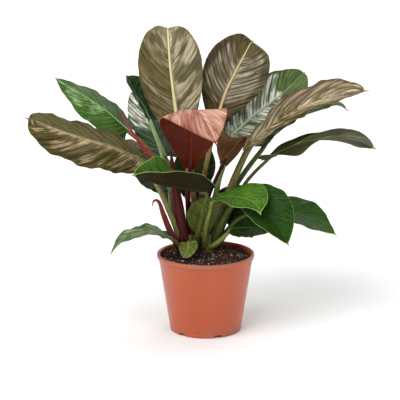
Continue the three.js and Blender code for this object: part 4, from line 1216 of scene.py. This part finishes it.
def turned_mesh(name, section, sides):
    """A mesh turned from a section of radius and height, in millimetres."""
    body = bmesh.new()
    ring = [body.verts.new((radius * MM, 0, z * MM)) for radius, z in section]
    edges = [body.edges.new(pair) for pair in zip(ring, ring[1:])]
    bmesh.ops.spin(
        body, geom=ring + edges, cent=(0, 0, 0), axis=(0, 0, 1), angle=2 * math.pi, steps=sides,
        use_duplicate=False,
    )
    bmesh.ops.remove_doubles(body, verts=body.verts, dist=1e-6)
    bmesh.ops.recalc_face_normals(body, faces=body.faces)
    mesh = bpy.data.meshes.new(name)
    body.to_mesh(mesh)
    body.free()
    return mesh


def notch_cutters(settings):
    """Prisms with rounded upper corners that cut the drainage notches."""
    body = bmesh.new()
    half, top, corner = NOTCH["width"] / 2, NOTCH["height"], NOTCH["corner"]
    turns = np.linspace(0, math.pi / 2, CORNER_POINTS)
    right = [(half - corner + corner * math.sin(a), top - corner + corner * math.cos(a)) for a in turns]
    outline = [(-half, -top)] + [(-x, z) for x, z in reversed(right)] + right + [(half, -top)]
    for i in range(settings.notches):
        turn = math.radians(FIRST_NOTCH_TURN + 360 * i / settings.notches)
        ends = []
        for reach in (-NOTCH["depth"], NOTCH["depth"]):
            points = [Vector((settings.base_radius + reach, x, z)) * MM for x, z in outline]
            ends.append([body.verts.new(Matrix.Rotation(turn, 3, "Z") @ point) for point in points])
        body.faces.new(ends[0])
        body.faces.new(ends[1])
        for k in range(len(outline)):
            near = (k + 1) % len(outline)
            body.faces.new((ends[0][k], ends[0][near], ends[1][near], ends[1][k]))
    bmesh.ops.recalc_face_normals(body, faces=body.faces)
    mesh = bpy.data.meshes.new("notch cutters")
    body.to_mesh(mesh)
    body.free()
    return mesh


def cut_mesh(mesh, cutters):
    """The mesh with the cutters taken out of it."""
    body = linked_piece("uncut", mesh)
    tool = linked_piece("cutters", cutters)
    modifier = body.modifiers.new("notches", "BOOLEAN")
    modifier.operation = "DIFFERENCE"
    modifier.solver = "EXACT"
    modifier.object = tool
    graph = bpy.context.evaluated_depsgraph_get()
    cut = bpy.data.meshes.new_from_object(body.evaluated_get(graph))
    bpy.data.objects.remove(body)
    bpy.data.objects.remove(tool)
    return cut


class PLANT_OT_pot(Operator):
    """Turns the nursery pot and cuts its drainage notches"""

    bl_idname = "plant.pot"
    bl_label = "Nursery pot"

    def execute(self, context):
        settings = context.scene.plant_pot
        mesh = cut_mesh(turned_mesh("pot", pot_section(settings), POT_SIDES), notch_cutters(settings))
        mesh.shade_smooth()
        mesh.set_sharp_from_angle(angle=SHARP_EDGE)
        values = {"Plastic": settings.colour, "Dust": linear(DUST), "Dustiness": 0.5}
        mesh.materials.clear()
        sheen = {"Coat Weight": 0.25, "Coat Roughness": 0.4}
        mesh.materials.append(new_material("pot plastic", plastic_group(), values, 0.15, 0.3, sheen))
        dress(linked_piece("pot_moulded", mesh), "pot")
        return {"FINISHED"}


# Compost


def compost_height(settings, x, y):
    reach = math.hypot(x, y) / RIM_REACH
    lumps = math.sin(x / 9 + 1) * math.cos(y / 7) + math.sin((x + y) / 5) * 0.5
    return settings.edge_height + settings.mound * (1 - reach**2) + LUMPS * lumps


def bed_height(settings, x, y):
    """The compost's top with its grains and small hollows."""
    place = Vector((x, y, GRAIN["slice"])) / GRAIN["size"]
    grain = noise.fractal(place, GRAIN["gain"], GRAIN["step"], GRAIN["layers"])
    return compost_height(settings, x, y) + GRAIN["height"] * (grain - GRAIN["mean"])


def compost_edge(z, pot):
    neck = pot.rim_radius - RIM_OVERHANG
    step = pot.height - STEP_BELOW_RIM
    reach = lerp(pot.base_radius, neck - STEP_RELIEF, min(1, z / step))
    return reach - pot.wall - GAP


def bed_rings(settings, pot):
    """Rings of the compost from its underside, up its side and in over its top."""
    step = pot.height - STEP_BELOW_RIM
    bottom = FLOOR_RAISE + FLOOR + GAP
    turns = np.linspace(0, 2 * math.pi, BED_SIDES, endpoint=False)
    rings = []
    for z in (bottom, step):
        radius = compost_edge(z, pot)
        rings.append([(radius * math.cos(a), radius * math.sin(a), z) for a in turns])
    for share in np.linspace(1, SMALLEST_RING, BED_RINGS):
        radius = compost_edge(step, pot) * share
        places = [(radius * math.cos(a), radius * math.sin(a)) for a in turns]
        rings.append([(x, y, bed_height(settings, x, y)) for x, y in places])
    return np.array(rings)


def lump_shape(subdivisions):
    """Points and faces of a ball of unit radius."""
    ball = bmesh.new()
    bmesh.ops.create_icosphere(ball, subdivisions=subdivisions, radius=1)
    points = np.array([vertex.co[:] for vertex in ball.verts])
    faces = np.array([[vertex.index for vertex in face.verts] for face in ball.faces])
    ball.free()
    return points, faces


def random_turn(random):
    """A matrix that turns to any side alike."""
    turn, _ = np.linalg.qr(random.normal(size=(3, 3)))
    return turn


def scatter(parts, settings, random, count, kind):
    """Lays lumps of one kind on the compost: crumbs, perlite or bark."""
    points, faces = lump_shape(kind["detail"])
    for _ in range(count):
        reach = LITTER_REACH * math.sqrt(random.random())
        turn = random.random() * 2 * math.pi
        x, y = reach * math.cos(turn), reach * math.sin(turn)
        size = np.array([random.uniform(low, high) for low, high in kind["sizes"]])
        rough = points * (1 + kind["rough"] * random.uniform(-1, 1, (len(points), 1)))
        lump = (rough * size) @ (random_turn(random) if kind["tumbled"] else laid_turn(random))
        z = bed_height(settings, x, y) + kind["lift"] * size.min()
        parts.add(lump + (x, y, z), faces, kind["finish"], np.zeros((len(points), 2)))


def laid_turn(random):
    """A matrix that turns about the vertical and leans a little."""
    lean_x, lean_y = (Matrix.Rotation(random.uniform(-MOST_LEAN, MOST_LEAN), 3, way) for way in "XY")
    return np.array(Matrix.Rotation(random.uniform(0, 2 * math.pi), 3, "Z") @ lean_x @ lean_y)


class PLANT_OT_compost(Operator):
    """Fills the pot with compost, with perlite and bark in it"""

    bl_idname = "plant.compost"
    bl_label = "Compost"

    def execute(self, context):
        settings = context.scene.plant_compost
        random = np.random.default_rng(settings.seed)
        parts = MeshParts()
        rings = bed_rings(settings, context.scene.plant_pot)
        parts.add_rings(rings, 0, rings[..., :2] / RIM_REACH)
        for name, kind in LITTER.items():
            scatter(parts, settings, random, getattr(settings, name), kind)
        materials = []
        for name, (light, dark, grain, rough, bump, distance) in CRUMB_SKINS.items():
            colour = linear(light) if light else settings.colour
            values = {"Light": colour, "Dark": linear(dark), "Grain": grain, "Rough": rough}
            materials.append(new_material(name, crumb_group(), values, bump, distance, {}))
        dress(parts.piece("compost_bed", materials), "soil")
        return {"FINISHED"}


# Leaves, crowns and sheaths


def grow_leaf(name, own, settings):
    """One leaf: its blade and its stalk, in place of the frame's."""
    leaf = PLAIN_LEAF | own
    leaf |= {key: np.broadcast_to(np.array(leaf[key], float), 2) for key in BY_HALF}
    line = framed_line(leaf["blade"], leaf["face"], leaf["twist"])
    parts = MeshParts()
    rings, places = blade_rings(leaf, line, settings)
    half = rings.shape[1] // 2
    finish = np.where(np.arange(rings.shape[1]) < half, 0, 1)
    parts.add_rings(rings, finish, places)
    rings, places = petiole_rings(leaf, line)
    parts.add_rings(rings, 2, places)
    dress(parts.piece(f"{name}_grown", leaf_materials(name, leaf, settings)), name)


def grow_leaves(leaves, context):
    for name, leaf in leaves.items():
        grow_leaf(name, leaf, context.scene.plant_leaves)
    return {"FINISHED"}


class PLANT_OT_upright_leaves(Operator):
    """Grows the tall and upper leaves"""

    bl_idname = "plant.upright_leaves"
    bl_label = "Upright leaves"

    def execute(self, context):
        return grow_leaves(UPRIGHT, context)


class PLANT_OT_spreading_leaves(Operator):
    """Grows the long leaves that spread to the sides"""

    bl_idname = "plant.spreading_leaves"
    bl_label = "Spreading leaves"

    def execute(self, context):
        return grow_leaves(SPREADING, context)


class PLANT_OT_lower_leaves(Operator):
    """Grows the low leaves round the pot"""

    bl_idname = "plant.lower_leaves"
    bl_label = "Lower leaves"

    def execute(self, context):
        return grow_leaves(LOWER, context)


class PLANT_OT_young_leaves(Operator):
    """Grows the two copper leaves that are still unrolling"""

    bl_idname = "plant.young_leaves"
    bl_label = "Young leaves"

    def execute(self, context):
        return grow_leaves(YOUNG, context)


class PLANT_OT_hindmost_leaves(Operator):
    """Grows the leaves on the far side"""

    bl_idname = "plant.hindmost_leaves"
    bl_label = "Hindmost leaves"

    def execute(self, context):
        return grow_leaves(HINDMOST, context)


def grow_stem(node_name, piece_name, points, material, radius_at, shape=None):
    """A sheath or a crown, in place of the frame's."""
    rings, places = stalk_rings(points, radius_at, STEM_FACE, STEM_STEPS, shape)
    parts = MeshParts()
    parts.add_rings(rings, 0, places)
    dress(parts.piece(piece_name, [material]), node_name)


def stem_colours(codes):
    """The stalk group's colours."""
    return dict(zip(("Root", "Neck"), map(linear, codes)))


class PLANT_OT_sheaths(Operator):
    """Grows the crimson sheaths and the rolled new leaf"""

    bl_idname = "plant.sheaths"
    bl_label = "Sheaths and new leaf"

    def execute(self, context):
        for name, sheath in SHEATHS.items():
            values = stem_colours(sheath["skin"])
            material = new_material(f"{name} skin", stalk_group(), values, 0.3, 0.5, waxy(SHEATH_GLOSS))

            def radius_at(share, length, radius=sheath["radius"]):
                return radius * np.maximum(SHEATH_POINT, (1 - share**3) ** 0.8)

            def flattened(turn, share):
                off_crease = (turn - SHEATH_CREASE["turn"]) / SHEATH_CREASE["width"]
                crease = SHEATH_CREASE["depth"] * np.exp(-(off_crease**2))
                return 1 - SHEATH_FLATNESS * np.cos(turn) ** 2 - crease

            grow_stem(name, f"{name}_skin", sheath["points"], material, radius_at, flattened)
        return {"FINISHED"}


class PLANT_OT_crowns(Operator):
    """Grows the short stems that the leaves stand on"""

    bl_idname = "plant.crowns"
    bl_label = "Crowns"

    def execute(self, context):
        finish = {"Specular IOR Level": 0.2}
        material = new_material("crown skin", stalk_group(), stem_colours(CROWN_SKIN), 0.5, 0.8, finish)

        def radius_at(share, length):
            scars = CROWN_SCARS["height"] * np.sin(share * CROWN_SCARS["pace"]) * (1 - share)
            return lerp(CROWN_RADIUS, CROWN_TOP_RADIUS, share**2) - CROWN_CLEARANCE + scars

        for name, points in CROWNS.items():
            grow_stem(name, f"{name}_stem", points, material, radius_at)
        return {"FINISHED"}


class PLANT_OT_stage(Operator):
    """Sets up the floor, the light and the camera"""

    bl_idname = "plant.stage"
    bl_label = "Stage"

    def execute(self, context):
        settings = context.scene.plant_stage
        scene = context.scene
        scene.view_settings.view_transform = "Standard"
        floor_mesh = bpy.data.meshes.new("floor")
        corners = [(x * FLOOR_REACH, y * FLOOR_REACH, 0) for x, y in ((-1, -1), (1, -1), (1, 1), (-1, 1))]
        floor_mesh.from_pydata(corners, [], [(0, 1, 2, 3)])
        linked_piece("floor", floor_mesh)
        material = bpy.data.materials.new("floor paint")
        material.use_nodes = True
        shader = material.node_tree.nodes["Principled BSDF"]
        shader.inputs["Base Color"].default_value = settings.floor
        shader.inputs["Roughness"].default_value = FLOOR_ROUGHNESS
        floor_mesh.materials.append(material)
        world = bpy.data.worlds.new("studio")
        world.use_nodes = True
        tree = world.node_tree
        seen = node(tree, "ShaderNodeLightPath").outputs["Is Camera Ray"]
        sky = tree.nodes["Background"].inputs
        sky["Color"].default_value = (1, 1, 1, 1)
        feed(tree, sky["Strength"], arithmetic(tree, "MULTIPLY_ADD", seen, 1 - settings.sky, settings.sky))
        scene.world = world
        for name, place in LAMPS.items():
            add_lamp(name, place, getattr(settings, name), settings.softness)
        camera = bpy.data.cameras.new("camera")
        camera.lens = settings.lens
        camera.sensor_width = SENSOR_WIDTH
        viewer = bpy.data.objects.new("camera", camera)
        viewer.location = CAMERA_PLACE
        viewer.rotation_euler = (math.pi / 2 - settings.pitch, 0, 0)
        scene.collection.objects.link(viewer)
        scene.camera = viewer
        return {"FINISHED"}


def add_lamp(name, place, strength, softness):
    """A wide, distant lamp that shines from a place towards the middle of the scene."""
    light = bpy.data.lights.new(name, "SUN")
    light.energy = strength
    light.angle = softness
    lamp = bpy.data.objects.new(name, light)
    lamp.location = place
    lamp.rotation_euler = Vector(place).to_track_quat("Z", "Y").to_euler()
    bpy.context.scene.collection.objects.link(lamp)


OPERATORS = (
    PLANT_OT_pot,
    PLANT_OT_compost,
    PLANT_OT_upright_leaves,
    PLANT_OT_spreading_leaves,
    PLANT_OT_lower_leaves,
    PLANT_OT_young_leaves,
    PLANT_OT_hindmost_leaves,
    PLANT_OT_sheaths,
    PLANT_OT_crowns,
    PLANT_OT_stage,
)


class PLANT_PT_panel(Panel):
    """The pieces of the plant, in the order in which they are made"""

    bl_idname = "PLANT_PT_panel"
    bl_label = "Potted philodendron"
    bl_space_type = "VIEW_3D"
    bl_region_type = "UI"
    bl_category = "Plant"

    def draw(self, context):
        for operator in OPERATORS:
            self.layout.operator(operator.bl_idname)


SETTINGS = {
    "plant_pot": PotSettings,
    "plant_compost": CompostSettings,
    "plant_leaves": LeafSettings,
    "plant_stage": StageSettings,
}


def register():
    for kind in (*SETTINGS.values(), *OPERATORS, PLANT_PT_panel):
        bpy.utils.register_class(kind)
    for name, kind in SETTINGS.items():
        setattr(bpy.types.Scene, name, PointerProperty(type=kind))


def unregister():
    for name in SETTINGS:
        delattr(bpy.types.Scene, name)
    for kind in (PLANT_PT_panel, *reversed(OPERATORS), *SETTINGS.values()):
        bpy.utils.unregister_class(kind)


def main():
    """Makes every piece."""
    register()
    for operator in OPERATORS:
        area, name = operator.bl_idname.split(".")
        getattr(getattr(bpy.ops, area), name)()


if __name__ == "__main__":
    main()
